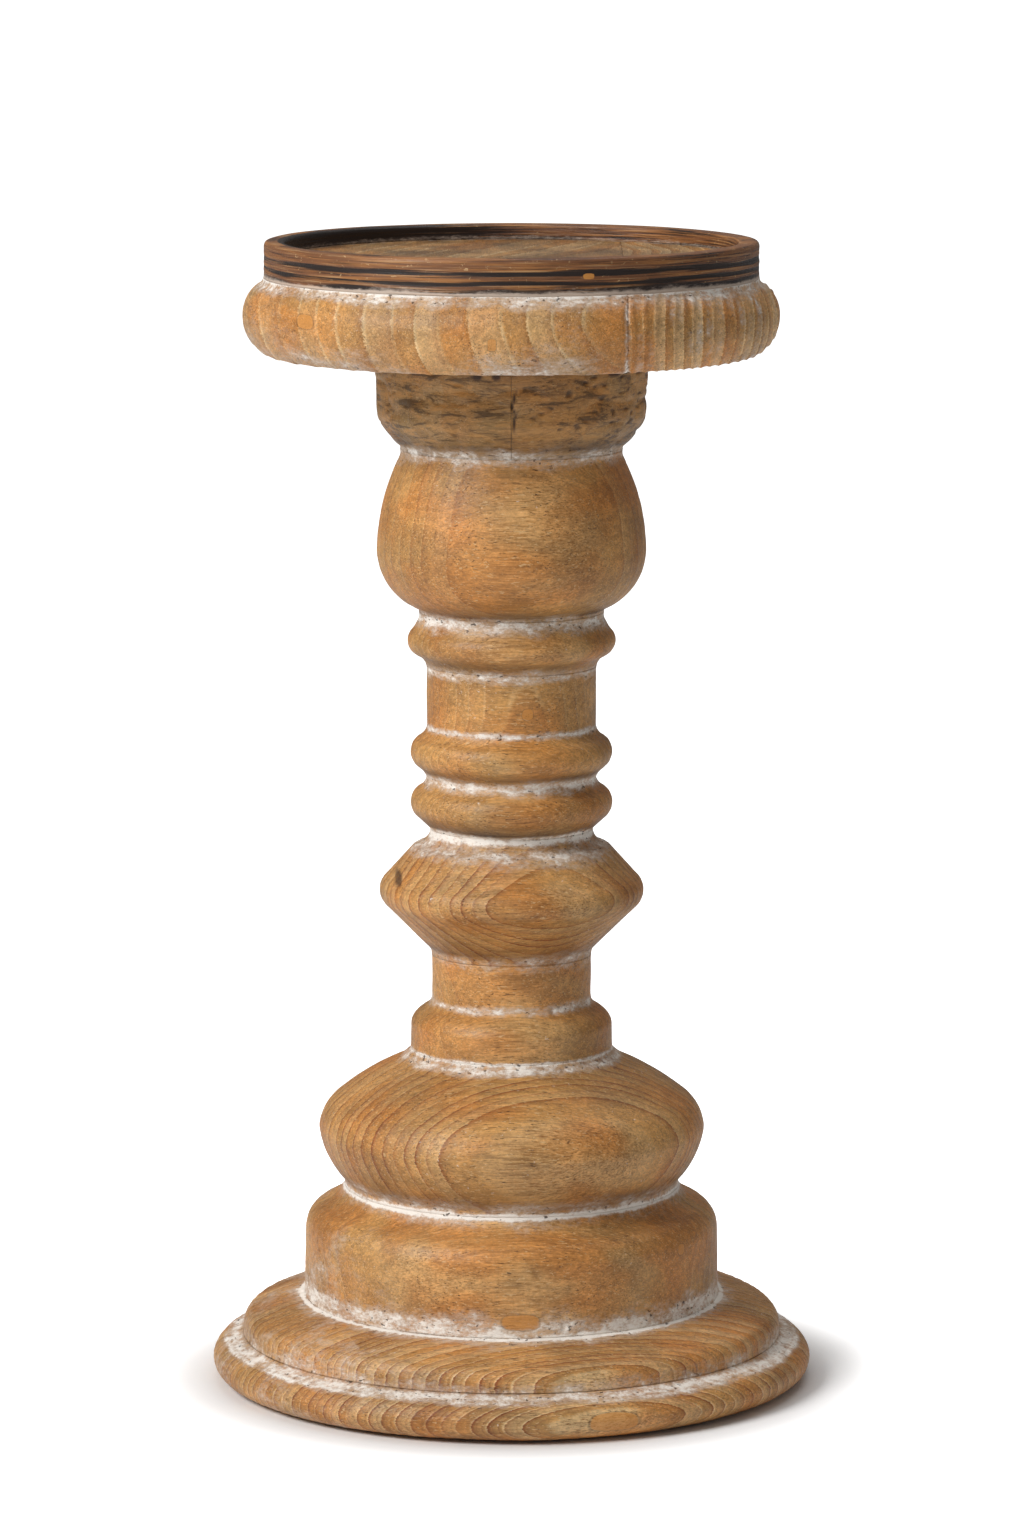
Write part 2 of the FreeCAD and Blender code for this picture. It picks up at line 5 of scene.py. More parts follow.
import bmesh
import bpy
import numpy as np
from bpy.props import FloatProperty, FloatVectorProperty, IntProperty, PointerProperty
from bpy.types import Operator, Panel, PropertyGroup
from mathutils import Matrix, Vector


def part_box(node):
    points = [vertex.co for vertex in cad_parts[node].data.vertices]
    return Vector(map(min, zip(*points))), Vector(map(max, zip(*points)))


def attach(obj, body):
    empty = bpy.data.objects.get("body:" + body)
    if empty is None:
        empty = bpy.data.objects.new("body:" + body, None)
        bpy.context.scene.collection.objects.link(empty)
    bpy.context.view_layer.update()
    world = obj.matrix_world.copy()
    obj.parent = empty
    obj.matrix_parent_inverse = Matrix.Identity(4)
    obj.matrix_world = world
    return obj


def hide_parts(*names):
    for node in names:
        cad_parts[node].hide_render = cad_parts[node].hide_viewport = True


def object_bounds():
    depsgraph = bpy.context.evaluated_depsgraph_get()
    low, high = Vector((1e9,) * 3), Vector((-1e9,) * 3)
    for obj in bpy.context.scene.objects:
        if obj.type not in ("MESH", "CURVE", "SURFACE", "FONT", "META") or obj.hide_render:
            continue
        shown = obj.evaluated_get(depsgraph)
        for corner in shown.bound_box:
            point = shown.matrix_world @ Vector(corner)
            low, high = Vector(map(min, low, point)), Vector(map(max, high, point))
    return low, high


bl_info = {
    "name": "Turned Candle Holder",
    "version": (1, 0, 0),
    "blender": (4, 5, 0),
    "location": "View3D > Sidebar > Candle Holder",
    "description": "Turns the wooden pieces of a pillar candle holder and finishes them",
    "category": "Object",
}

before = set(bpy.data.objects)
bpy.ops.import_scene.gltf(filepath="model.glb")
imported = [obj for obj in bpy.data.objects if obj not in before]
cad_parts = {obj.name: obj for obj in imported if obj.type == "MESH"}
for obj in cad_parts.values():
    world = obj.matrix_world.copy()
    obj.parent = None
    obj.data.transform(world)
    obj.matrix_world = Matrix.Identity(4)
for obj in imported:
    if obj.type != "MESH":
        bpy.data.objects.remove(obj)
CAD_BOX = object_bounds()
MM = 0.001
TURN = 2 * math.pi
MOST_COLUMNS = 620  # points round the widest turning
CORNER_TURN = 0.35  # change of heading (radians) that counts as a corner
FLAT_SPARING = 2.5  # how much further apart the points of a flat face lie
HIDDEN_GAP = 6  # mm between points where an outline is hidden
WELD = 1e-6  # metres within which two points are taken as one
CUT_SLACK = 1e-7  # metres within which a point lies on a cutting plane
HAIR = 0.02  # mm of slack when a face is matched by its level
SEAT_SHOWN = 0.3  # mm of a seat that still counts as seen, next to its edge
BORE_COVER = 13.6  # radius (mm) inside which every face is hidden
ABOVE_ALL = 400  # a level (mm) above the whole object
RIGHT, LEFT = 20, 160  # bearings (degrees) at which a section misses the screw holes
TABLE_SIDE = 32
SMOOTH_TABLE = np.random.default_rng(11).random((TABLE_SIDE,) * 3)

# Where limewash lies: level and radius of the crease, reach of the limewash round it (mm),
# strength.
WASH = (
    (11.9, 74.6, 3.3, 0.80),
    # The next row lies on the outer top edge of the foot's ledge, not in a crease: a white line of
    # limewash that is also a painted highlight along the edge.
    (11.7, 77.1, 1.7, 1.25),
    (24.4, 56.2, 4.8, 0.72),
    (22.8, 56.4, 1.2, 1.1),
    (53.4, 46.8, 3.6, 0.68),
    (52.4, 45.2, 1.2, 1.1),
    (88.2, 28.8, 2.4, 0.72),
    (89.4, 27.2, 0.7, 0.95),
    (102.7, 21.6, 1.4, 0.66),
    (115.6, 22.2, 3.2, 0.50),
    (145.2, 25.4, 4.8, 0.66),
    (148.2, 22.0, 2.2, 0.9),
    (162.5, 22.9, 2.4, 0.72),
    (176.2, 22.8, 1.1, 0.72),
    (191.8, 22.8, 1.9, 0.64),
    (205.6, 24.7, 3.0, 0.70),
    (250.4, 29.8, 3.6, 0.62),
    (294.6, 66.6, 2.9, 0.66),
    (295.5, 65.4, 0.9, 0.95),
    (300.9, 59.4, 1.2, 0.5),
)


class TurningSettings(PropertyGroup):
    outline_gap: FloatProperty(
        name="Outline gap",
        description="Distance between points along a turned outline",
        default=0.00045,
        min=0.0002,
        unit="LENGTH",
    )
    round_gap: FloatProperty(
        name="Gap around",
        description="Distance between points around the widest part of a turning",
        default=0.00056,
        min=0.0002,
        unit="LENGTH",
    )
    softening: IntProperty(
        name="Softening",
        description="How many times the corners of an outline are rubbed down",
        default=2,
        min=0,
        max=8,
    )
    wobble: FloatProperty(
        name="Wobble",
        description="How far the sanded surface wanders below the true turning",
        default=0.00022,
        min=0.0,
        unit="LENGTH",
    )


def colour(name, description, default):
    return FloatVectorProperty(
        name=name, description=description, default=default, size=3, subtype="COLOR", min=0, max=1
    )


class WoodSettings(PropertyGroup):
    honey: colour("Honey", "Stained early wood", (0.56, 0.287, 0.088))
    orange: colour("Orange", "Warm patches in the stain", (0.55, 0.228, 0.054))
    olive: colour("Olive", "Cool and dull patches in the stain", (0.375, 0.225, 0.078))
    cream: colour("Cream", "Scratches and bare early wood", (0.76, 0.52, 0.26))
    latewood: colour("Late wood", "Dark line at the end of a year's growth", (0.27, 0.075, 0.016))
    # The pore colour also lays painted shade under the overhangs beside creases, and painted shadow
    # on the neck below the dish.
    pore: colour("Pore", "Pores, tears and grime", (0.05, 0.024, 0.012))
    # The limewash colours also lay painted highlight on the left of the foot and drum, and along
    # the outer edge of the foot's ledge.
    chalk: colour("Limewash", "Thick limewash in a crease", (0.98, 0.92, 0.84))
    haze: colour("Thin limewash", "Limewash rubbed thin", (0.66, 0.53, 0.43))
    umber: colour("Umber", "Dark stain of the hoop", (0.185, 0.074, 0.029))
    peat: colour("Peat", "Rot and dirt in the torn grain of the neck", (0.085, 0.046, 0.016))
    # The soot colour also lays painted shade over the inner wall of the hoop.
    soot_and_shade: colour("Soot", "Scorched streaks of the hoop", (0.010, 0.006, 0.005))
    filler: colour("Filler", "Plugs and filled chips", (0.62, 0.26, 0.055))


class StageSettings(PropertyGroup):
    eye: FloatVectorProperty(
        name="Camera place",
        description="Where the camera stands",
        default=(0.0, -1.7271, 0.4320),
        size=3,
        subtype="TRANSLATION",
        unit="LENGTH",
    )
    target_level: FloatProperty(
        name="Target level",
        description="Level on the axis that the camera looks at",
        default=0.1645,
        unit="LENGTH",
    )
    lens: FloatProperty(
        name="Focal length",
        description="Focal length of the camera in millimetres",
        default=153.95,
        min=10.0,
    )
    key_power: FloatProperty(
        name="Key light",
        description="Power of the large soft light at the upper left",
        default=38.0,
        min=0.0,
        unit="POWER",
    )
    fill_power: FloatProperty(
        name="Top light",
        description="Power of the soft light overhead",
        default=9.0,
        min=0.0,
        unit="POWER",
    )
    sky: FloatProperty(
        name="Room light",
        description="Strength of the even light from all round",
        default=0.18,
        min=0.0,
    )
    floor: colour("Floor", "Colour of the pale floor", (0.93, 0.93, 0.93))


# ---------------------------------------------------------------- outlines and turnings


def smooth(value, low, high):
    """0 up to low, 1 from high on, and an eased step between them."""
    part = np.clip((value - low) / (high - low), 0.0, 1.0)
    return part * part * (3 - 2 * part)


def blotch(points, size, seed):
    """A smooth random value from 0 to 1 at each point; size is the width of a blotch in mm."""
    scaled = points / np.asarray(size, float) + 7.31 * seed + 64.0
    cell = np.floor(scaled).astype(int)
    part = scaled - cell
    part = part * part * (3 - 2 * part)
    total = np.zeros(len(points))
    for corner in range(8):
        step = np.array([corner & 1, corner >> 1 & 1, corner >> 2 & 1])
        share = np.prod(np.where(step == 1, part, 1 - part), axis=1)
        i, j, k = ((cell + step) % TABLE_SIDE).T
        total += share * SMOOTH_TABLE[i, j, k]
    return total


def section(node, bearing):
    """Outline of a CAD piece in the upright half plane at a bearing: (radius, level) rows in mm."""
    ray = Vector((math.cos(bearing), math.sin(bearing), 0))
    across = Vector((-ray.y, ray.x, 0))
    bm = bmesh.new()
    bm.from_mesh(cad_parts[node].data)
    bmesh.ops.remove_doubles(bm, verts=bm.verts, dist=WELD)
    for normal, both in ((ray, False), (across, True)):
        bmesh.ops.bisect_plane(
            bm,
            geom=bm.verts[:] + bm.edges[:] + bm.faces[:],
            dist=CUT_SLACK,
            plane_co=(0, 0, 0),
            plane_no=normal,
            clear_inner=True,
            clear_outer=both,
        )
    bmesh.ops.remove_doubles(bm, verts=bm.verts, dist=WELD)
    on_axis = [v for v in bm.verts if len(v.link_edges) == 1]
    start = min(on_axis or bm.verts, key=lambda v: (round(v.co.z, 5), v.co.dot(ray)))
    chain = [start]
    seen = {start}
    while True:
        near = [e.other_vert(chain[-1]) for e in chain[-1].link_edges]
        near = [v for v in near if v not in seen]
        if not near:
            break
        step = max(near, key=lambda v: (v.co - start.co).dot(ray)) if len(chain) == 1 else near[0]
        seen.add(step)
        chain.append(step)
    rows = np.array([(v.co.dot(ray), v.co.z) for v in chain]) / MM
    bm.free()
    return rows, not on_axis


def outline(node, bearing, covers, settings):
    """Points along a section, close together where the surface shows and far apart elsewhere."""
    rows, closed = section(node, bearing)
    if closed:
        rows = np.vstack([rows, rows[:1]])
    gap = settings.outline_gap / MM
    leg = np.diff(rows, axis=0)
    length = np.hypot(*leg.T)
    rows = rows[np.r_[True, length > 1e-4]]
    leg = np.diff(rows, axis=0)
    length = np.hypot(*leg.T)
    heading = np.unwrap(np.arctan2(leg[:, 1], leg[:, 0]))
    corners = [0, *(1 + np.flatnonzero(np.abs(np.diff(heading)) > CORNER_TURN)), len(rows) - 1]
    run = np.r_[0, np.cumsum(length)]
    spots = []
    corner_at = []
    for a, b in zip(corners[:-1], corners[1:]):
        flat = abs(rows[b, 1] - rows[a, 1]) < HAIR
        spacing = gap * FLAT_SPARING if flat else gap
        count = max(1, round((run[b] - run[a]) / spacing))
        corner_at.append(len(spots))
        spots.extend(np.linspace(run[a], run[b], count, endpoint=False))
    if not closed:
        spots.append(run[-1])
    points = np.column_stack([np.interp(spots, run, rows[:, k]) for k in (0, 1)])
    shown = np.ones(len(points), bool)
    for low_r, high_r, low_z, high_z in covers:
        inside_r = (points[:, 0] > low_r) & (points[:, 0] < high_r)
        shown &= ~(inside_r & (points[:, 1] > low_z) & (points[:, 1] < high_z))
    for _ in range(settings.softening):
        rubbed = (np.roll(points, 1, 0) + 2 * points + np.roll(points, -1, 0)) / 4
        free = shown & np.roll(shown, 1) & np.roll(shown, -1)
        points[free] = rubbed[free]
    keep = shown | np.roll(shown, 1) | np.roll(shown, -1)
    keep[corner_at] = True
    keep[:: max(1, round(HIDDEN_GAP / gap))] = True
    if not closed:
        keep[-1] = True
    depth_in = np.minimum.reduce([np.roll(shown, k).astype(float) for k in (-1, 0, 1)])
    for _ in range(3):
        depth_in = np.minimum(depth_in, (np.roll(depth_in, 1) + np.roll(depth_in, -1)) / 2)
    tangent = np.roll(points, -1, 0) - np.roll(points, 1, 0)
    tangent /= np.maximum(np.hypot(*tangent.T), 1e-9)[:, None]
    normal = np.column_stack([tangent[:, 1], -tangent[:, 0]])
    return points[keep], normal[keep], depth_in[keep], closed


def ring_count(points, heart, along, gaps, wander, start):
    """How many growth rings deep each point lies, counted from the outermost one.

    The rings lie round the line through heart in the direction along. Gaps holds the width of
    the first ring and of the later ones, and how fast the rings widen towards the heart. Wander
    is how far (mm) the rings stray from true circles.
    """
    drift = np.column_stack([blotch(points, (46, 34, 34), s) - 0.5 for s in (1, 2, 3)])
    drift += 0.35 * np.column_stack([blotch(points, (19, 13, 11), s) - 0.5 for s in (4, 5, 6)])
    apart = points + 2 * wander * drift - np.array(heart, float)
    along = np.array(along, float) / np.linalg.norm(along)
    distance = np.linalg.norm(np.cross(apart, along), axis=1)
    depth = distance.max() - distance
    first, later, widen = gaps
    beyond = np.maximum(depth - first, 0)
    beyond += 0.9 * np.sin(beyond / 5)
    return start + np.minimum(depth / first, 1) ** 4 + np.log1p(widen * beyond / later) / widen


def late_share(rings):
    """1 on the hard late wood at the end of a ring, 0 on the soft early wood."""
    part = rings - np.floor(rings)
    return smooth(part, 0.45, 0.92) * (1 - smooth(part, 0.94, 1.0))


def near_creases(radius, level, widened):
    """Strength of the nearest crease at each point, falling away over its widened reach."""
    total = np.zeros(len(radius))
    for crease_level, crease_radius, spread, strength in WASH:
        away = np.hypot(radius - crease_radius, level - crease_level)
        total = np.maximum(total, strength * np.exp(-((away / widened(spread)) ** 2)))
    return total


def wash_and_highlight_amount(radius, level, points):
    """Limewash left in the creases, with a ragged edge, and a painted highlight along the outer
    edge of the foot's ledge.
    """
    ragged = 0.62 + 0.76 * blotch(points, (9, 9, 5), 21)
    return near_creases(radius, level, lambda spread: spread * ragged)


def painted_underside_shade(radius, level, leaning, points):
    """Painted shade on the undersides that overhang a crease, darkest next to the crease where
    shade falls.
    """
    total = near_creases(radius, level, lambda spread: 1.2 * spread + 2)
    under = smooth(-leaning, 0.1, 0.85)
    return 1.15 * total * under * (0.45 + blotch(points, (14, 14, 4), 22))


def mark(points, x, level, half_width, half_height, seed=0):
    """1 inside a small rounded patch on the front of the piece, falling to 0 at its edge."""
    wave = 0.14 * (blotch(points, 3.2, 31 + seed) - 0.5)
    across = np.abs((points[:, 0] - x) / half_width) ** 3
    away = (across + np.abs((points[:, 2] - level) / half_height) ** 3) ** (1 / 3)
    return np.where(points[:, 1] < 0, 1 - smooth(away + wave, 0.7, 1.15), 0)


class Turning:
    """Points of a turned piece, and the finish values carried by each of them."""

    def __init__(self, context, node, covers, bearing=RIGHT):
        self.settings = settings = context.scene.candle_turning
        traced = outline(node, math.radians(bearing), covers, settings)
        self.rows, self.lean, self.fade, self.closed = traced
        girth = TURN * self.rows[:, 0].max()
        self.columns = int(min(MOST_COLUMNS, girth / (settings.round_gap / MM)))
        self.poles = None
        if not self.closed:
            self.poles = (self.rows[0, 1], self.rows[-1, 1])
            self.rows, self.lean, self.fade = self.rows[1:-1], self.lean[1:-1], self.fade[1:-1]
        angle = np.arange(self.columns) * TURN / self.columns
        self.count = len(self.rows)
        turned = np.tile(angle, self.count)
        self.radius = np.repeat(self.rows[:, 0], self.columns)
        self.level = np.repeat(self.rows[:, 1], self.columns)
        self.ray = np.column_stack([np.cos(turned), np.sin(turned)])
        self.points = np.column_stack([self.ray * self.radius[:, None], self.level])
        self.fade = np.repeat(self.fade, self.columns)
        self.rings = np.zeros(len(self.points))
        self.wash_and_highlight = wash_and_highlight_amount(self.radius, self.level, self.points)
        leaning = np.repeat(self.lean[:, 1], self.columns)
        # Painted shade under the overhangs beside creases, left off where the limewash lies.
        bare = 1 - smooth(self.wash_and_highlight, 0.3, 0.75)
        self.soot_and_shade = bare * painted_underside_shade(self.radius, self.level, leaning, self.points)
        self.filler = np.zeros(len(self.points))

    def grow(self, heart, along, gaps, wander, start=0.0):
        """Lay growth rings through the block that the piece was cut from."""
        self.rings = ring_count(self.points, heart, along, gaps, wander, start)

    def stain(self, soot_and_shade):
        """Darken the piece to the given amount where it isn't darker already: soot and stain, and
        also painted shade.
        """
        self.soot_and_shade = np.maximum(self.soot_and_shade, soot_and_shade)

    def whiten(self, wash_and_highlight):
        """Leave the given limewash, which also carries painted highlight, on the piece where there
        isn't more already.
        """
        self.wash_and_highlight = np.maximum(self.wash_and_highlight, wash_and_highlight)

    def fill(self, x, level, half_width, half_height, seed=0, strength=1.0):
        """Put a filled chip on the front of the piece."""
        chip = strength * mark(self.points, x, level, half_width, half_height, seed)
        self.filler = np.maximum(self.filler, chip)

    def sink(self, depth):
        """Move every point inwards, square to the outline, by a depth in mm."""
        depth = np.maximum(depth, 0) * self.fade
        out_r = np.repeat(self.lean[:, 0], self.columns)
        out_z = np.repeat(self.lean[:, 1], self.columns)
        self.radius = self.radius - depth * out_r
        self.level = self.level - depth * out_z
        self.points = np.column_stack([self.ray * self.radius[:, None], self.level])

    def faces(self):
        index = np.arange(self.count * self.columns).reshape(self.count, self.columns)
        low = index if self.closed else index[:-1]
        high = np.roll(index, -1, 0) if self.closed else index[1:]
        quads = [low, np.roll(low, -1, 1), np.roll(high, -1, 1), high]
        faces = np.stack([q.ravel() for q in quads], axis=1).tolist()
        if self.poles:
            under, over = len(self.points), len(self.points) + 1
            first, last = index[0].tolist(), index[-1].tolist()
            for a in range(self.columns):
                b = (a + 1) % self.columns
                faces.append([under, first[b], first[a]])
                faces.append([over, last[a], last[b]])
        return faces

    def mesh(self):
        points = self.points
        bare = 1 - 0.7 * np.clip(self.filler, 0, 1)
        fields = np.column_stack([self.wash_and_highlight * bare, self.soot_and_shade, self.filler])
        rings = self.rings
        if self.poles:
            points = np.vstack([points, [[0, 0, z] for z in self.poles]])
            fields = np.vstack([fields, fields[0], fields[-1]])
            rings = np.r_[rings, rings[0], rings[-1]]
        made = bpy.data.meshes.new("turning")
        made.from_pydata((points * MM).tolist(), [], self.faces())
        made.attributes.new("rings", "FLOAT", "POINT").data.foreach_set("value", rings)
        held = made.attributes.new("finish", "FLOAT_VECTOR", "POINT")
        held.data.foreach_set("vector", fields.ravel())
        return made


def saw(mesh, line, side):
    """Keep the part of a turning to one side of an upright saw cut across x."""
    bm = bmesh.new()
    bm.from_mesh(mesh)
    cut = bmesh.ops.bisect_plane(
        bm,
        geom=bm.verts[:] + bm.edges[:] + bm.faces[:],
        dist=CUT_SLACK,
        plane_co=(line * MM, 0, 0),
        plane_no=(-side, 0, 0),
        clear_outer=True,
    )["geom_cut"]
    edges = [e for e in cut if isinstance(e, bmesh.types.BMEdge)]
    bmesh.ops.triangle_fill(bm, edges=edges, use_beauty=False)
    bmesh.ops.recalc_face_normals(bm, faces=bm.faces)
    bm.to_mesh(mesh)
    bm.free()
    return mesh


def place(mesh, name, nodes, material):
    """Put a finished mesh in the scene in place of its CAD pieces."""
    mesh.name = name
    mesh.polygons.foreach_set("use_smooth", np.ones(len(mesh.polygons), bool))
    mesh.materials.append(material)
    mesh.update()
    piece = bpy.data.objects.new(name, mesh)
    bpy.context.scene.collection.objects.link(piece)
    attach(piece, "root")
    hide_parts(*nodes)
    return piece


def weather(turning, ridge, tear):
    """Sanding wobble, proud late wood, and small tears in the softer wood."""
    points = turning.points
    wobble = blotch(points, (17, 17, 9), 41) + 0.35 * blotch(points, (5, 5, 2.5), 42)
    wobble *= turning.settings.wobble / MM
    ribs = ridge * (1 - late_share(turning.rings))
    holes = smooth(blotch(points, (2.4, 1.3, 1.1), 43), 0.74, 0.86)
    holes *= tear * (0.25 + turning.wash_and_highlight)
    turning.sink(wobble + ribs + holes)


def paint_left_highlight(turning, share, seed):
    """Paint a highlight in pale patches on the left of a piece, the side the key light falls on,
    laid in the limewash colours.
    """
    patches = smooth(-turning.points[:, 0], -10, 50) * blotch(turning.points, (12, 12, 9), seed)
    turning.whiten(share * patches)


# ---------------------------------------------------------------- finishes


class Bench:
    """Lays out the nodes of one finish."""

    def __init__(self, name):
        self.material = bpy.data.materials.new(name)
        self.material.use_nodes = True
        self.tree = self.material.node_tree
        self.tree.nodes.clear()
        self.place = self.node("ShaderNodeTexCoord").outputs["Object"]
        self.skin = self.node("ShaderNodeBsdfPrincipled")

    def node(self, kind, **values):
        made = self.tree.nodes.new(kind)
        for key, value in values.items():
            setattr(made, key, value)
        return made

    def feed(self, socket, value):
        """Link a value made by another node, or set a plain number or colour."""
        if isinstance(value, bpy.types.NodeSocket):
            self.tree.links.new(value, socket)
        elif hasattr(value, "__len__"):
            socket.default_value = (*value, 1.0)
        else:
            socket.default_value = value

    def calc(self, kind, first, second=0.0, clamp=False):
        made = self.node("ShaderNodeMath", operation=kind, use_clamp=clamp)
        self.feed(made.inputs[0], first)
        self.feed(made.inputs[1], second)
        return made.outputs[0]

    def weighted(self, *terms):
        """Sum of some values, each times its own weight."""
        total = 0.0
        for value, weight in terms:
            total = self.calc("ADD", total, self.calc("MULTIPLY", value, weight))
        return total

    def swing(self, noise, size):
        """Noise from 0 to 1 turned into a swing about 0."""
        return self.calc("MULTIPLY", self.calc("SUBTRACT", noise, 0.5), size)

    def mix(self, share, under, over, kind="MIX"):
        """Lay a share of one colour over another."""
        made = self.node("ShaderNodeMix", data_type="RGBA", blend_type=kind)
        self.feed(made.inputs[0], share)
        self.feed(made.inputs[6], under)
        self.feed(made.inputs[7], over)
        return made.outputs[2]

    def span(self, value, low, high, to_low=0.0, to_high=1.0):
        """Carry the range from low to high over to another range, eased at both ends."""
        made = self.node("ShaderNodeMapRange", interpolation_type="SMOOTHSTEP")
        for key, number in (("Value", value), ("From Min", low), ("From Max", high)):
            self.feed(made.inputs[key], number)
        self.feed(made.inputs["To Min"], to_low)
        self.feed(made.inputs["To Max"], to_high)
        return made.outputs["Result"]

    def noise(self, size, detail=2.0, rough=0.5, seed=0.0, twist=0.0):
        """Noise whose blotches measure size (mm) along x, y and z."""
        stretch = self.node("ShaderNodeMapping")
        self.feed(stretch.inputs["Vector"], self.place)
        stretch.inputs["Location"].default_value = (seed, 0.37 * seed, 0.61 * seed)
        stretch.inputs["Scale"].default_value = [1 / (s * MM) for s in size]
        made = self.node("ShaderNodeTexNoise")
        self.feed(made.inputs["Vector"], stretch.outputs["Vector"])
        made.inputs["Scale"].default_value = 1.0
        made.inputs["Detail"].default_value = detail
        made.inputs["Roughness"].default_value = rough
        made.inputs["Distortion"].default_value = twist
        return made.outputs["Fac"]

    def ramp(self, value, stops):
        """Grey levels at the given places from 0 to 1, with even steps between them."""
        made = self.node("ShaderNodeValToRGB")
        self.feed(made.inputs["Fac"], value)
        marks = made.color_ramp.elements
        while len(marks) < len(stops):
            marks.new(0.5)
        for element, (at, shade) in zip(marks, stops):
            element.position = at
            element.color = (shade, shade, shade, 1)
        return made.outputs["Color"]

    def carried_rings(self):
        return self.node("ShaderNodeAttribute", attribute_name="rings").outputs["Fac"]

    def carried_finish(self):
        """The limewash with painted highlight, the soot and stain with painted shade, and the
        filler that the mesh carries at each of its points.
        """
        carried = self.node("ShaderNodeAttribute", attribute_name="finish")
        parts = self.node("ShaderNodeSeparateXYZ")
        self.feed(parts.inputs[0], carried.outputs["Vector"])
        return parts.outputs

    def per_ring(self, rings, seed):
        """A random value from 0 to 1 that is the same all through one growth ring."""
        whole = self.calc("FLOOR", self.calc("ADD", rings, seed))
        made = self.node("ShaderNodeTexWhiteNoise", noise_dimensions="1D")
        self.feed(made.inputs["W"], whole)
        return made.outputs["Value"]

    def finish(self, shade, roughness, height, depth, specular):
        """Join the skin of the finish; depth (mm) is the height of its relief."""
        bump = self.node("ShaderNodeBump")
        out = self.node("ShaderNodeOutputMaterial")
        bump.inputs["Distance"].default_value = depth * MM
        bump.inputs["Strength"].default_value = 1.0
        self.feed(bump.inputs["Height"], height)
        self.feed(self.skin.inputs["Specular IOR Level"], specular)
        self.feed(self.skin.inputs["Base Color"], shade)
        self.feed(self.skin.inputs["Roughness"], roughness)
        self.feed(self.skin.inputs["Normal"], bump.outputs["Normal"])
        self.feed(out.inputs["Surface"], self.skin.outputs["BSDF"])
        return self.material


def along_grain(grain, length, across):
    """Size of a blotch drawn out along the grain axis."""
    return tuple(length if axis == grain else across for axis in "xyz")


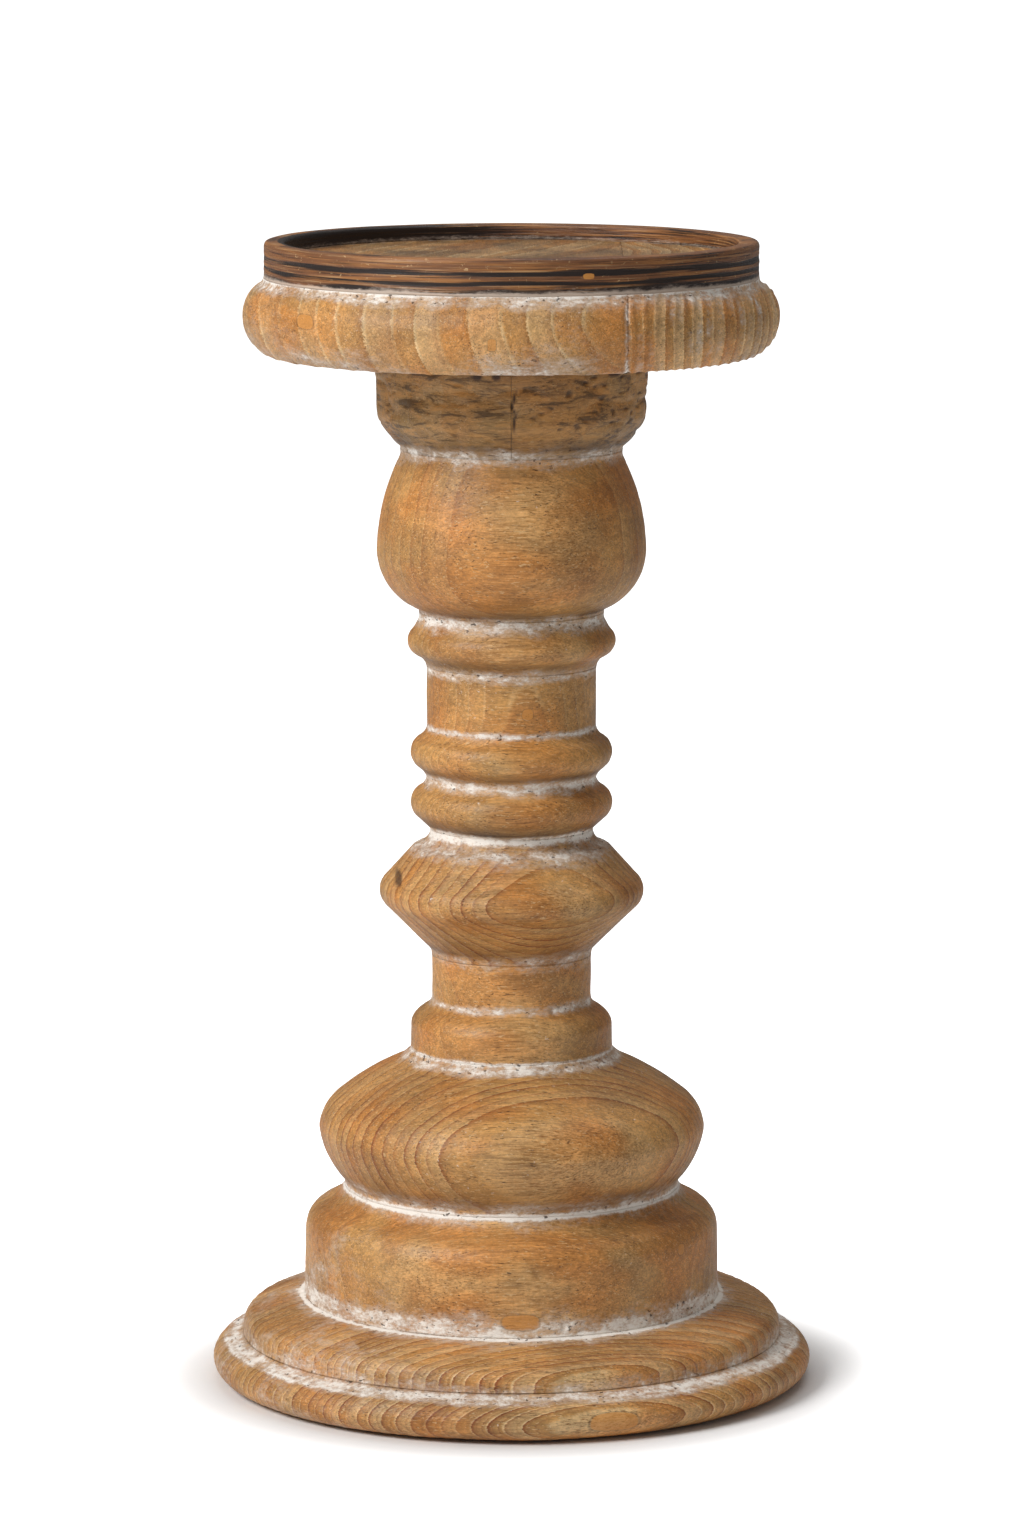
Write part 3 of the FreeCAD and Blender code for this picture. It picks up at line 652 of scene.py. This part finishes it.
def limewashed_wood(
    name,
    colours,
    grain="x",
    line=0.8,
    stripe=0.25,
    dull=0.35,
    hatch=0.1,
    edge=0.25,
    age=1.0,
    rough_cut=0.0,
):
    """Stained softwood: growth rings, fibres, pores and limewash left in the creases.

    Line, hatch, edge and stripe are the strengths of the late wood, of fine lines between, of
    the pale line beside it and of whole pale rings. Dull adds olive patches, age under 1 darkens
    the stain, and rough_cut adds the rot and torn grain of an unsanded block.
    """
    bench = Bench(name)
    wash_and_highlight, soot_and_shade, filler = bench.carried_finish()

    # growth rings
    fibre = bench.noise(along_grain(grain, 9, 0.42), 4, 0.66, 1.0)
    grit = bench.noise((0.9, 0.9, 0.7), 4, 0.7, 2.0)
    cloud = bench.noise(along_grain(grain, 40, 15), 1.5, 0.5, 3.0, 0.2)
    warmth = bench.noise(along_grain(grain, 30, 16), 1.5, 0.5, 4.0, 0.3)
    rings = bench.calc("ADD", bench.carried_rings(), bench.swing(fibre, 0.30))
    part = bench.calc("FRACT", rings)
    stops = ((0.0, 0.25), (0.05, 0.0), (0.42, 0.04), (0.75, 0.40), (0.93, 1.0), (1.0, 0.25))
    late = bench.ramp(part, stops)
    fine = bench.calc("FRACT", bench.calc("MULTIPLY", rings, 3.0))
    late = bench.calc("MAXIMUM", late, bench.calc("MULTIPLY", bench.ramp(fine, stops), hatch))
    strength = bench.span(bench.per_ring(rings, 0.0), 0.0, 1.0, 0.6 * line, 1.2 * line)
    strength = bench.calc("MULTIPLY", strength, bench.span(cloud, 0.34, 0.62, 0.55, 1.0))
    late = bench.calc("MULTIPLY", late, strength, clamp=True)

    # stain, pale rings and late wood
    shade = bench.mix(bench.span(warmth, 0.38, 0.66), colours.honey, colours.orange)
    shade = bench.mix(bench.span(cloud, 0.48, 0.7, 0.0, dull), shade, colours.olive)
    pale = bench.span(bench.per_ring(rings, 5.0), 0.45, 1.0, 0.0, stripe)
    shade = bench.mix(pale, shade, colours.cream)
    shade = bench.mix(late, shade, colours.latewood)
    bright = bench.ramp(part, ((0.0, 1.0), (0.05, 0.9), (0.12, 0.0), (0.96, 0.0), (1.0, 1.0)))
    bright = bench.calc("MULTIPLY", bright, bench.span(warmth, 0.60, 0.40, 0.2 * edge, edge))
    shade = bench.mix(bright, shade, colours.cream)

    # uneven tone
    band = bench.noise(along_grain(grain, 19, 1.5), 2, 0.5, 13.0)
    streak = bench.span(fibre, 0.30, 0.70, 0.74, 1.18)
    speck = bench.span(grit, 0.30, 0.70, 0.84, 1.14)
    tone = bench.calc("MULTIPLY", streak, speck)
    tone = bench.calc("MULTIPLY", tone, bench.span(band, 0.36, 0.64, 0.87, 1.09))
    stain = bench.noise((26, 26, 17), 3, 0.55, 14.0, 0.4)
    tone = bench.calc("MULTIPLY", tone, bench.span(stain, 0.36, 0.62, 0.84 * age, 1.14 * age))
    tones = bench.node("ShaderNodeCombineColor")
    for socket in tones.inputs:
        bench.feed(socket, tone)
    shade = bench.mix(1.0, shade, tones.outputs["Color"], "MULTIPLY")

    # pores, nicks and flecks
    dashes = bench.noise(along_grain(grain, 2.6, 0.30), 2, 0.5, 6.0)
    pores = bench.span(dashes, 0.63, 0.69)
    crowd = bench.span(bench.noise((11, 11, 8), 2, 0.5, 7.0), 0.36, 0.64, 0.18, 0.8)
    pores = bench.calc("MULTIPLY", pores, crowd)
    shade = bench.mix(pores, shade, colours.pore)
    nicks = bench.noise(along_grain(grain, 1.9, 0.4), 2, 0.5, 8.0, 0.8)
    shade = bench.mix(bench.span(nicks, 0.61, 0.69, 0.0, 0.6), shade, colours.cream)
    flecks = bench.span(bench.noise((1.3, 1.3, 0.8), 3, 0.6, 15.0, 0.6), 0.67, 0.74)
    flecks = bench.calc("MULTIPLY", flecks, bench.span(warmth, 0.52, 0.38, 0.0, 0.55))
    shade = bench.mix(flecks, shade, colours.chalk)
    if rough_cut:
        shade = bench.mix(0.4 * rough_cut, shade, colours.olive)
        decay = bench.noise((9, 9, 2.0), 5, 0.70, 9.0, 0.6)
        shade = bench.mix(bench.span(decay, 0.50, 0.62, 0.0, rough_cut), shade, colours.peat)
        shade = bench.mix(bench.span(decay, 0.46, 0.38, 0.0, rough_cut), shade, colours.honey)

    # filled chips with a dark rim
    shade = bench.mix(bench.span(filler, 0.40, 0.62, 0.0, 0.72), shade, colours.filler)
    rim = bench.span(filler, 0.10, 0.32, 0.0, 0.34)
    rim = bench.calc("MULTIPLY", rim, bench.span(filler, 0.62, 0.36))
    shade = bench.mix(rim, shade, colours.pore)

    # limewash and painted highlight with pits, then soot, stain and painted shade over it
    crumble = bench.noise((1.5, 1.5, 0.8), 4, 0.7, 10.0)
    patchy = bench.noise((6, 6, 3), 2, 0.5, 11.0)
    cover = bench.calc("ADD", bench.swing(crumble, 1.1), bench.swing(patchy, 0.9))
    cover = bench.calc("ADD", wash_and_highlight, bench.calc("MULTIPLY", cover, bench.span(wash_and_highlight, 0.02, 0.35)))
    thick = bench.span(cover, 0.52, 0.92, 0.0, 0.92)
    shade = bench.mix(bench.span(cover, 0.14, 0.72, 0.0, 0.62), shade, colours.haze)
    shade = bench.mix(thick, shade, colours.chalk)
    holes = bench.span(bench.noise((1.6, 1.6, 0.9), 2, 0.5, 12.0), 0.66, 0.72)
    holes = bench.calc("MULTIPLY", holes, bench.span(wash_and_highlight, 0.18, 0.6))
    shade = bench.mix(bench.calc("MULTIPLY", holes, 0.8), shade, colours.pore)
    # Soot and stain, with painted shade and painted shadow, laid in the pore colour.
    shade = bench.mix(soot_and_shade, shade, colours.pore)

    # relief
    raised = ((fibre, 0.5), (grit, 0.35), (late, 0.35), (thick, 0.35))
    height = bench.weighted(*raised, (pores, -0.6), (holes, -1.3))
    roughness = bench.span(grit, 0.25, 0.75, 0.34, 0.52)
    roughness = bench.weighted((roughness, 1.0), (thick, 0.25))
    return bench.finish(shade, roughness, height, 0.22, 0.42)


def scorched_wood(name, colours):
    """Dark stained hoop with black streaks running round it."""
    bench = Bench(name)
    wash_and_highlight, soot_and_shade, filler = bench.carried_finish()
    band = bench.noise((30, 30, 1.1), 4, 0.6, 1.0)
    fine = bench.noise((20, 20, 0.42), 4, 0.6, 2.0)
    grit = bench.noise((0.8, 0.8, 0.5), 3, 0.6, 3.0)
    shade = bench.mix(bench.span(band, 0.44, 0.64, 0.0, 0.44), colours.umber, colours.orange)
    shade = bench.mix(bench.span(fine, 0.54, 0.70, 0.0, 0.3), shade, colours.cream)
    shade = bench.mix(bench.span(fine, 0.48, 0.34, 0.0, 0.75), shade, colours.soot_and_shade)
    chips = bench.noise((1.7, 1.7, 1.0), 4, 0.66, 5.0, 0.9)
    shade = bench.mix(bench.span(chips, 0.62, 0.72, 0.0, 0.7), shade, colours.cream)
    # Scorch streaks, and the painted shade of the inner wall carried in the soot, laid in the soot
    # colour.
    burn_and_shade = bench.calc("ADD", soot_and_shade, bench.calc("SUBTRACT", 0.5, fine))
    burn_and_shade = bench.span(burn_and_shade, 0.34, 0.66, 0.0, 0.96)
    shade = bench.mix(burn_and_shade, shade, colours.soot_and_shade)
    shade = bench.mix(bench.span(filler, 0.4, 0.6, 0.0, 0.9), shade, colours.filler)
    crumble = bench.noise((2.2, 2.2, 0.7), 4, 0.7, 4.0)
    cover = bench.calc("ADD", wash_and_highlight, bench.swing(crumble, 0.8))
    cover = bench.calc("MULTIPLY", cover, bench.span(wash_and_highlight, 0.02, 0.3))
    shade = bench.mix(bench.span(cover, 0.25, 0.8, 0.0, 0.8), shade, colours.haze)
    height = bench.weighted((fine, 1.0), (grit, 0.3), (burn_and_shade, -0.5))
    roughness = bench.span(grit, 0.25, 0.75, 0.36, 0.56)
    return bench.finish(shade, roughness, height, 0.14, 0.4)


def pressed_felt(name):
    """Dark grey felt with loose wool."""
    bench = Bench(name)
    wool = bench.noise((0.5, 0.5, 0.5), 5, 0.75, 1.0, 0.8)
    clumps = bench.noise((3, 3, 3), 3, 0.6, 2.0)
    shade = bench.mix(bench.span(wool, 0.3, 0.7), (0.030, 0.026, 0.022), (0.085, 0.075, 0.062))
    shade = bench.mix(bench.span(clumps, 0.4, 0.7, 0.0, 0.4), shade, (0.11, 0.098, 0.082))
    roughness = bench.span(wool, 0.3, 0.7, 0.86, 0.98)
    return bench.finish(shade, roughness, wool, 0.35, 0.15)


def zinc_steel(name):
    """Bright steel with a flaky zinc coat and fine scratches."""
    bench = Bench(name)
    flakes = bench.noise((1.6, 1.6, 1.6), 4, 0.6, 1.0)
    scratch = bench.noise((0.3, 0.3, 4.0), 3, 0.6, 2.0)
    shade = bench.mix(bench.span(flakes, 0.35, 0.65), (0.38, 0.38, 0.37), (0.56, 0.56, 0.54))
    shade = bench.mix(bench.span(scratch, 0.60, 0.72, 0.0, 0.5), shade, (0.22, 0.19, 0.16))
    roughness = bench.span(flakes, 0.3, 0.7, 0.28, 0.46)
    bench.skin.inputs["Metallic"].default_value = 1.0
    return bench.finish(shade, roughness, scratch, 0.03, 0.5)


def shared(name, make, *details, **looks):
    """The finish of that name, made the first time that it is asked for."""
    return bpy.data.materials.get(name) or make(name, *details, **looks)


def wood(context, name, **looks):
    """The limewashed wood of that name, in the colours of the settings."""
    return shared(name, limewashed_wood, context.scene.candle_wood, **looks)


# ---------------------------------------------------------------- one operator per piece

FOOT_LOOKS = {"line": 1.0, "stripe": 0.45, "hatch": 0.5, "edge": 0.8}


def reach(node, top):
    """Radius of a CAD piece where it meets its neighbour, in mm."""
    low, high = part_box(node)
    level = high.z if top else low.z
    points = np.array([v.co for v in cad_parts[node].data.vertices])
    flat = points[np.abs(points[:, 2] - level) < HAIR * MM]
    return np.hypot(flat[:, 0], flat[:, 1]).max() / MM


def level_of(node, top):
    """Level of the top or the underside of a CAD piece, in mm."""
    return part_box(node)[1 if top else 0].z / MM


def seats(below, node, above):
    """The hidden parts of an outline: the bore, and the faces that lie on a neighbour."""
    hidden = [(-1, BORE_COVER, -1, ABOVE_ALL)]
    for neighbour, top in ((below, False), (above, True)):
        if neighbour:
            level = level_of(node, top)
            radius = min(reach(neighbour, not top), reach(node, top)) - SEAT_SHOWN
            hidden.append((-1, radius, level - HAIR, level + HAIR))
    return hidden


class CANDLE_OT_foot_disc(Operator):
    """Turn the beaded foot disc with its plug and its pale ledge"""

    bl_idname = "candle.foot_disc"
    bl_label = "Foot disc"

    def execute(self, context):
        made = Turning(context, "foot_disc", seats(None, "foot_disc", "foot_moulding"))
        made.grow((0, 150, 30), (1, 0.33, 0.05), (3.4, 1.8, 0.022), 0.9)
        made.fill(26.6, 5.4, 6.6, 2.6)
        paint_left_highlight(made, 0.4, 68)
        weather(made, 0.10, 0.35)
        finish = wood(context, "Foot wood", **FOOT_LOOKS)
        place(made.mesh(), "turned_foot_disc", ["foot_disc"], finish)
        return {"FINISHED"}


class CANDLE_OT_foot_moulding(Operator):
    """Turn the quarter-round moulding of the foot"""

    bl_idname = "candle.foot_moulding"
    bl_label = "Foot moulding"

    def execute(self, context):
        made = Turning(context, "foot_moulding", seats("foot_disc", "foot_moulding", "drum"))
        made.grow((0, 150, 18), (1, 0.33, 0.0), (2.2, 1.6, 0.026), 0.9)
        paint_left_highlight(made, 0.52, 67)
        weather(made, 0.12, 0.4)
        finish = wood(context, "Foot wood", **FOOT_LOOKS)
        mesh = made.mesh()
        place(mesh, "turned_foot_moulding", ["foot_moulding"], finish)
        return {"FINISHED"}


class CANDLE_OT_drum(Operator):
    """Turn the drum that stands on the foot"""

    bl_idname = "candle.drum"
    bl_label = "Drum"

    def execute(self, context):
        made = Turning(context, "drum", seats("foot_moulding", "drum", "lower_bulb"))
        made.grow((0, 120, -20), (1, 0.05, 0.02), (25, 3.6, 0.02), 2.2)
        made.fill(2.6, 26.8, 5.2, 2.2)
        made.fill(45, 41.0, 1.0, 1.6, 3, 0.8)
        shoulder = 48
        # Painted highlight in pale patches on the left of the drum below its shoulder, the side the
        # key light falls on.
        lit_patches = smooth(-made.points[:, 0], 18, 48) * blotch(made.points, (12, 12, 9), 66)
        made.whiten(0.5 * lit_patches * (made.level < shoulder))
        weather(made, 0.05, 0.4)
        finish = wood(context, "Drum wood", line=0.35, stripe=0.0)
        place(made.mesh(), "turned_drum", ["drum"], finish)
        return {"FINISHED"}


class CANDLE_OT_lower_bulb(Operator):
    """Turn the wide flattened bulb above the drum"""

    bl_idname = "candle.lower_bulb"
    bl_label = "Lower bulb"

    def execute(self, context):
        made = Turning(context, "lower_bulb", seats("drum", "lower_bulb", "lower_stem"))
        made.grow((0, 140, 58), (1, 0.32, 0.0), (12.5, 2.4, 0.03), 1.6)
        weather(made, 0.06, 0.3)
        finish = wood(context, "Bulb wood", line=0.9, stripe=0.2)
        place(made.mesh(), "turned_lower_bulb", ["lower_bulb"], finish)
        return {"FINISHED"}


class CANDLE_OT_stems(Operator):
    """Turn the collared lower stem, the beaded upper stem and the ring above it"""

    bl_idname = "candle.stems"
    bl_label = "Stems and ring"

    def execute(self, context):
        finish = wood(context, "Stem wood", line=0.3, stripe=0.0)
        stems = (
            ("lower_bulb", "lower_stem", "diamond_knop", 60),
            ("diamond_knop", "upper_stem", "top_ring", 190),
            ("upper_stem", "top_ring", "upper_bulb", 170),
        )
        for below, node, above, heart in stems:
            made = Turning(context, node, seats(below, node, above))
            made.grow((0, 90, heart), (1, 0.2, 0.06), (11, 2.6, 0.03), 2.0)
            if node == "upper_stem":
                made.fill(4.3, 182.2, 1.5, 1.5, 2)
            weather(made, 0.05, 0.3)
            place(made.mesh(), "turned_" + node, [node], finish)
        return {"FINISHED"}


class CANDLE_OT_diamond_knop(Operator):
    """Turn the knop with a sharp waist between two cones"""

    bl_idname = "candle.diamond_knop"
    bl_label = "Diamond knop"

    def execute(self, context):
        covers = seats("lower_stem", "diamond_knop", "upper_stem")
        made = Turning(context, "diamond_knop", covers)
        made.grow((0, 90, 112), (1, 0.34, -0.10), (4.6, 2.3, 0.03), 1.5)
        made.stain(0.75 * mark(made.points, -30.0, 137.2, 1.0, 1.7, 5))
        weather(made, 0.08, 0.3)
        finish = wood(context, "Knop wood", line=0.9, stripe=0.25)
        place(made.mesh(), "turned_diamond_knop", ["diamond_knop"], finish)
        return {"FINISHED"}


class CANDLE_OT_upper_bulb(Operator):
    """Turn the tall bulb under the neck"""

    bl_idname = "candle.upper_bulb"
    bl_label = "Upper bulb"

    def execute(self, context):
        covers = seats("top_ring", "upper_bulb", "neck_half_left")
        made = Turning(context, "upper_bulb", covers)
        made.grow((0, 150, 226), (1, 0.24, -0.05), (9.5, 3.2, 0.03), 2.2)
        weather(made, 0.05, 0.25)
        finish = wood(context, "Upper bulb wood", line=0.4, stripe=0.1, dull=0.2)
        place(made.mesh(), "turned_upper_bulb", ["upper_bulb"], finish)
        return {"FINISHED"}


class CANDLE_OT_neck(Operator):
    """Turn the rough neck and split it down its cracked glue line"""

    bl_idname = "candle.neck"
    bl_label = "Neck halves"

    def execute(self, context):
        looks = {"line": 0.2, "dull": 1.0, "age": 0.8, "rough_cut": 0.8}
        finish = wood(context, "Weathered neck wood", **looks)
        bed = level_of("neck_half_left", True)
        kerf = 0.03
        for node, side in (("neck_half_left", -1), ("neck_half_right", 1)):
            covers = seats("upper_bulb", node, "dish_board_wide")
            made = Turning(context, node, covers, LEFT if side < 0 else RIGHT)
            points = made.points
            made.grow((0, 90, 255), (1, 0.1, 0.1), (9, 4, 0.02), 2.4)
            shadow = smooth(made.level, bed - 6, bed)
            made.stain(0.6 * shadow * (0.4 + 1.1 * blotch(points, (8, 8, 3), 51)))
            for x, half in ((-9, 1.5), (-4, 1.2), (27, 1.8)):
                made.stain(mark(points, x, bed - 2.6, half, 1.2, int(half * 10)))
            path = 0.8 + 1.6 * (blotch(points * (0, 0, 1), 2.1, 52) - 0.5)
            crack = np.exp(-(((points[:, 0] - path) / 0.32) ** 2)) * (points[:, 1] < 0)
            crack *= smooth(made.level, bed - 20, bed - 15)
            crack *= 1 - smooth(made.level, bed - 8, bed - 5)
            made.stain(crack)
            pitted = smooth(blotch(points, (2.3, 2.3, 1.1), 53), 0.74, 0.86)
            made.stain(0.7 * pitted * smooth(points[:, 0], -5, 12))
            rough = 0.7 * (1 - np.abs(2 * blotch(points, (11, 11, 5), 54) - 1)) ** 3
            made.sink(rough + 0.8 * crack + 0.3 * pitted)
            weather(made, 0.06, 0.4)
            mesh = saw(made.mesh(), kerf * side, side)
            place(mesh, "turned_" + node, [node], finish)
        return {"FINISHED"}


class CANDLE_OT_dish(Operator):
    """Turn the dish from its two glued boards, with ribs of late wood on the bead"""

    bl_idname = "candle.dish"
    bl_label = "Dish boards"

    def execute(self, context):
        joint = level_of("dish_board_wide", False)
        under = reach("neck_half_left", True) - SEAT_SHOWN
        hoop_foot = level_of("rim_hoop", False)
        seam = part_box("dish_board_narrow")[0].x / MM
        recess_radius, recess_level = 59.8, 300
        covers = [
            (-1, under, joint - HAIR, joint + HAIR),
            (59.6, 65.0, hoop_foot - 0.05, ABOVE_ALL),
        ]
        wide = {"line": 0.3, "stripe": 0.38}
        narrow = {"line": 0.4, "stripe": 0.65}
        boards = (
            ("wide", -1, (84, 0, 297), 0.38, (9.0, 7.0, 0.002), 0.15, wide),
            ("narrow", 1, (-60, 0, 285), -0.10, (2.6, 2.8, 0.002), 0.28, narrow),
        )
        for board, side, heart, slant, gaps, ridge, looks in boards:
            made = Turning(context, "dish_board_wide", covers, LEFT)
            points = made.points
            made.grow(heart, (slant, 1, 0), gaps, 2.6, 0.3)
            glue = np.exp(-(((points[:, 0] - seam) / 0.7) ** 2)) * (made.level < 298)
            made.whiten(glue * (0.45 + 0.7 * blotch(points, (4, 4, 3), 61)))
            if side > 0:
                soft = (1 - late_share(made.rings)) * blotch(points, (5, 5, 7), 63)
                made.whiten(0.62 * soft * (made.level < 299))
            else:
                low = 1 - smooth(made.level, 276, 286)
                rubbed = blotch(points, (16, 16, 8), 65) * (0.25 + 0.45 * low)
                made.whiten(rubbed * (made.level < 299))
            floor = (made.radius < recess_radius) * (made.level > recess_level)
            made.stain(0.5 * floor * (0.4 + 1.2 * blotch(points, 9, 62)))
            spill = np.exp(-(((points[:, 0] - 5) / 24) ** 2) - ((points[:, 1] + 27) / 9) ** 2)
            made.whiten(0.8 * floor * spill * blotch(points, (9, 3, 3), 64))
            made.fill(-5, 283.5, 1.3, 1.8, 1.3)
            made.fill(-53, 287.5, 2.2, 2.0, 2.2)
            weather(made, ridge, 0.3)
            made.sink(0.35 * glue)
            node = "dish_board_" + board
            finish = wood(context, board.title() + " board", grain="y", edge=0.9, **looks)
            mesh = saw(made.mesh(), seam, side)
            place(mesh, "turned_" + node, [node], finish)
        return {"FINISHED"}


class CANDLE_OT_rim_hoop(Operator):
    """Turn the scorched hoop that walls the dish"""

    bl_idname = "candle.rim_hoop"
    bl_label = "Rim hoop"

    def execute(self, context):
        floor = level_of("dish_board_wide", True)
        foot = level_of("rim_hoop", False)
        made = Turning(context, "rim_hoop", [(59.5, 65.0, 0, floor + 0.05)])
        points = made.points
        for height, half, strength in ((3.2, 0.7, 1.0), (5.6, 0.9, 1.0), (1.0, 1.3, 0.9)):
            drift = 0.9 * (blotch(points * (1, 1, 0), 26, int(10 * height)) - 0.5)
            away = (made.level - foot - height - drift) / half
            patchy = 0.35 + 0.9 * blotch(points * (1, 1, 0), 17, int(7 * height))
            made.stain(strength * patchy * np.exp(-(away**2)))
        # Painted shade over the hoop's inner wall, darkest on the left, the side the key light
        # doesn't reach.
        inside = 1 - smooth(made.radius, 60.5, 62.5)
        made.stain(inside * (0.42 + 0.5 * smooth(-points[:, 0], -15, 50)))
        outside = smooth(made.radius, 64.2, 64.9)
        made.stain(outside * (0.1 + 0.3 * blotch(points, (22, 22, 3), 72)))
        made.fill(19.6, foot + 5.0, 1.5, 0.9, 4)
        streaks = blotch(points, (14, 14, 0.6), 71)
        made.sink(0.16 * streaks + 0.12 * np.clip(made.soot_and_shade, 0, 1))
        finish = shared("Scorched wood", scorched_wood, context.scene.candle_wood)
        place(made.mesh(), "turned_rim_hoop", ["rim_hoop"], finish)
        return {"FINISHED"}


class CANDLE_OT_fittings(Operator):
    """Finish the felt pad and the steel rod, nuts, washers and screws"""

    bl_idname = "candle.fittings"
    bl_label = "Felt and fittings"

    def execute(self, context):
        steel = shared("Zinc steel", zinc_steel)
        felt = shared("Pressed felt", pressed_felt)
        names = ("tie_rod", "bottom_washer", "bottom_nut", "top_washer", "top_nut")
        for node in (*names, "dish_screws", "foot_screws", "base_felt"):
            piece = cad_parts[node]
            piece.data.materials.clear()
            piece.data.materials.append(felt if node == "base_felt" else steel)
        return {"FINISHED"}


class CANDLE_OT_stage(Operator):
    """Set up the floor, the studio light and the camera"""

    bl_idname = "candle.stage"
    bl_label = "Stage"

    def execute(self, context):
        scene = context.scene
        stage = scene.candle_stage
        self.floor(scene, stage)
        self.room(scene, stage)
        self.light(scene, "key_light", (-1.4, -1.05, 1.45), 1.0, stage.key_power)
        self.light(scene, "top_light", (0.1, 0.35, 1.7), 1.6, stage.fill_power)
        lens = bpy.data.cameras.new("camera")
        lens.lens = stage.lens
        lens.sensor_width = 36.0
        eye = Vector(stage.eye)
        camera = bpy.data.objects.new("camera", lens)
        camera.location = eye
        aim = Vector((0, 0, stage.target_level)) - eye
        camera.rotation_euler = aim.to_track_quat("-Z", "Y").to_euler()
        scene.collection.objects.link(camera)
        scene.camera = camera
        scene.view_settings.view_transform = "Standard"
        return {"FINISHED"}

    def light(self, scene, name, spot, width, power):
        lamp = bpy.data.lights.new(name, "AREA")
        lamp.shape = "DISK"
        lamp.size = width
        lamp.energy = power
        made = bpy.data.objects.new(name, lamp)
        made.location = spot
        aim = Vector((0, 0, 0.16)) - made.location
        made.rotation_euler = aim.to_track_quat("-Z", "Y").to_euler()
        scene.collection.objects.link(made)

    def floor(self, scene, stage):
        bm = bmesh.new()
        bmesh.ops.create_grid(bm, x_segments=24, y_segments=24, size=16.0)
        mesh = bpy.data.meshes.new("floor")
        bm.to_mesh(mesh)
        bm.free()
        bench = Bench("Pale floor")
        tooth = bench.noise((6, 6, 6), 3, 0.5, 1.0)
        finish = bench.finish(tuple(stage.floor), 0.8, tooth, 0.05, 0.2)
        bench.skin.inputs["Emission Color"].default_value = (1, 1, 1, 1)
        apart = bench.node("ShaderNodeVectorMath", operation="LENGTH")
        bench.feed(apart.inputs[0], bench.place)
        shadow_from, shadow_to = 0.079, 0.112
        glow = bench.span(apart.outputs["Value"], shadow_from, shadow_to)
        seen = bench.node("ShaderNodeLightPath").outputs["Is Camera Ray"]
        bench.feed(bench.skin.inputs["Emission Strength"], bench.calc("MULTIPLY", glow, seen))
        mesh.materials.append(finish)
        floor = bpy.data.objects.new("floor", mesh)
        floor.location.z = CAD_BOX[0].z - 0.0002
        scene.collection.objects.link(floor)

    def room(self, scene, stage):
        world = bpy.data.worlds.new("studio")
        scene.world = world
        world.use_nodes = True
        tree = world.node_tree
        tree.nodes.clear()
        seen = tree.nodes.new("ShaderNodeBackground")
        lit = tree.nodes.new("ShaderNodeBackground")
        path = tree.nodes.new("ShaderNodeLightPath")
        both = tree.nodes.new("ShaderNodeMixShader")
        out = tree.nodes.new("ShaderNodeOutputWorld")
        seen.inputs["Strength"].default_value = 1.0
        seen.inputs["Color"].default_value = (1, 1, 1, 1)
        lit.inputs["Strength"].default_value = stage.sky
        lit.inputs["Color"].default_value = (1, 1, 1, 1)
        tree.links.new(path.outputs["Is Camera Ray"], both.inputs["Fac"])
        tree.links.new(lit.outputs[0], both.inputs[1])
        tree.links.new(seen.outputs[0], both.inputs[2])
        tree.links.new(both.outputs[0], out.inputs["Surface"])


PIECES = (
    CANDLE_OT_foot_disc,
    CANDLE_OT_foot_moulding,
    CANDLE_OT_drum,
    CANDLE_OT_lower_bulb,
    CANDLE_OT_stems,
    CANDLE_OT_diamond_knop,
    CANDLE_OT_upper_bulb,
    CANDLE_OT_neck,
    CANDLE_OT_dish,
    CANDLE_OT_rim_hoop,
    CANDLE_OT_fittings,
    CANDLE_OT_stage,
)
SETTINGS = (
    ("candle_turning", TurningSettings),
    ("candle_wood", WoodSettings),
    ("candle_stage", StageSettings),
)


class CANDLE_PT_panel(Panel):
    """Lists the pieces of the candle holder and their settings"""

    bl_idname = "CANDLE_PT_panel"
    bl_label = "Candle Holder"
    bl_space_type = "VIEW_3D"
    bl_region_type = "UI"
    bl_category = "Candle Holder"

    def draw(self, context):
        for made in PIECES:
            self.layout.operator(made.bl_idname)
        for name, group in SETTINGS:
            box = self.layout.box()
            for key in group.__annotations__:
                box.prop(getattr(context.scene, name), key)


def register():
    for made in (*(group for _, group in SETTINGS), *PIECES, CANDLE_PT_panel):
        bpy.utils.register_class(made)
    for name, group in SETTINGS:
        setattr(bpy.types.Scene, name, PointerProperty(type=group))


def unregister():
    for name, _ in SETTINGS:
        delattr(bpy.types.Scene, name)
    for made in (CANDLE_PT_panel, *reversed(PIECES), *(group for _, group in SETTINGS)):
        bpy.utils.unregister_class(made)


def main():
    register()
    for made in PIECES:
        group, name = made.bl_idname.split(".")
        getattr(getattr(bpy.ops, group), name)()


if __name__ == "__main__":
    main()
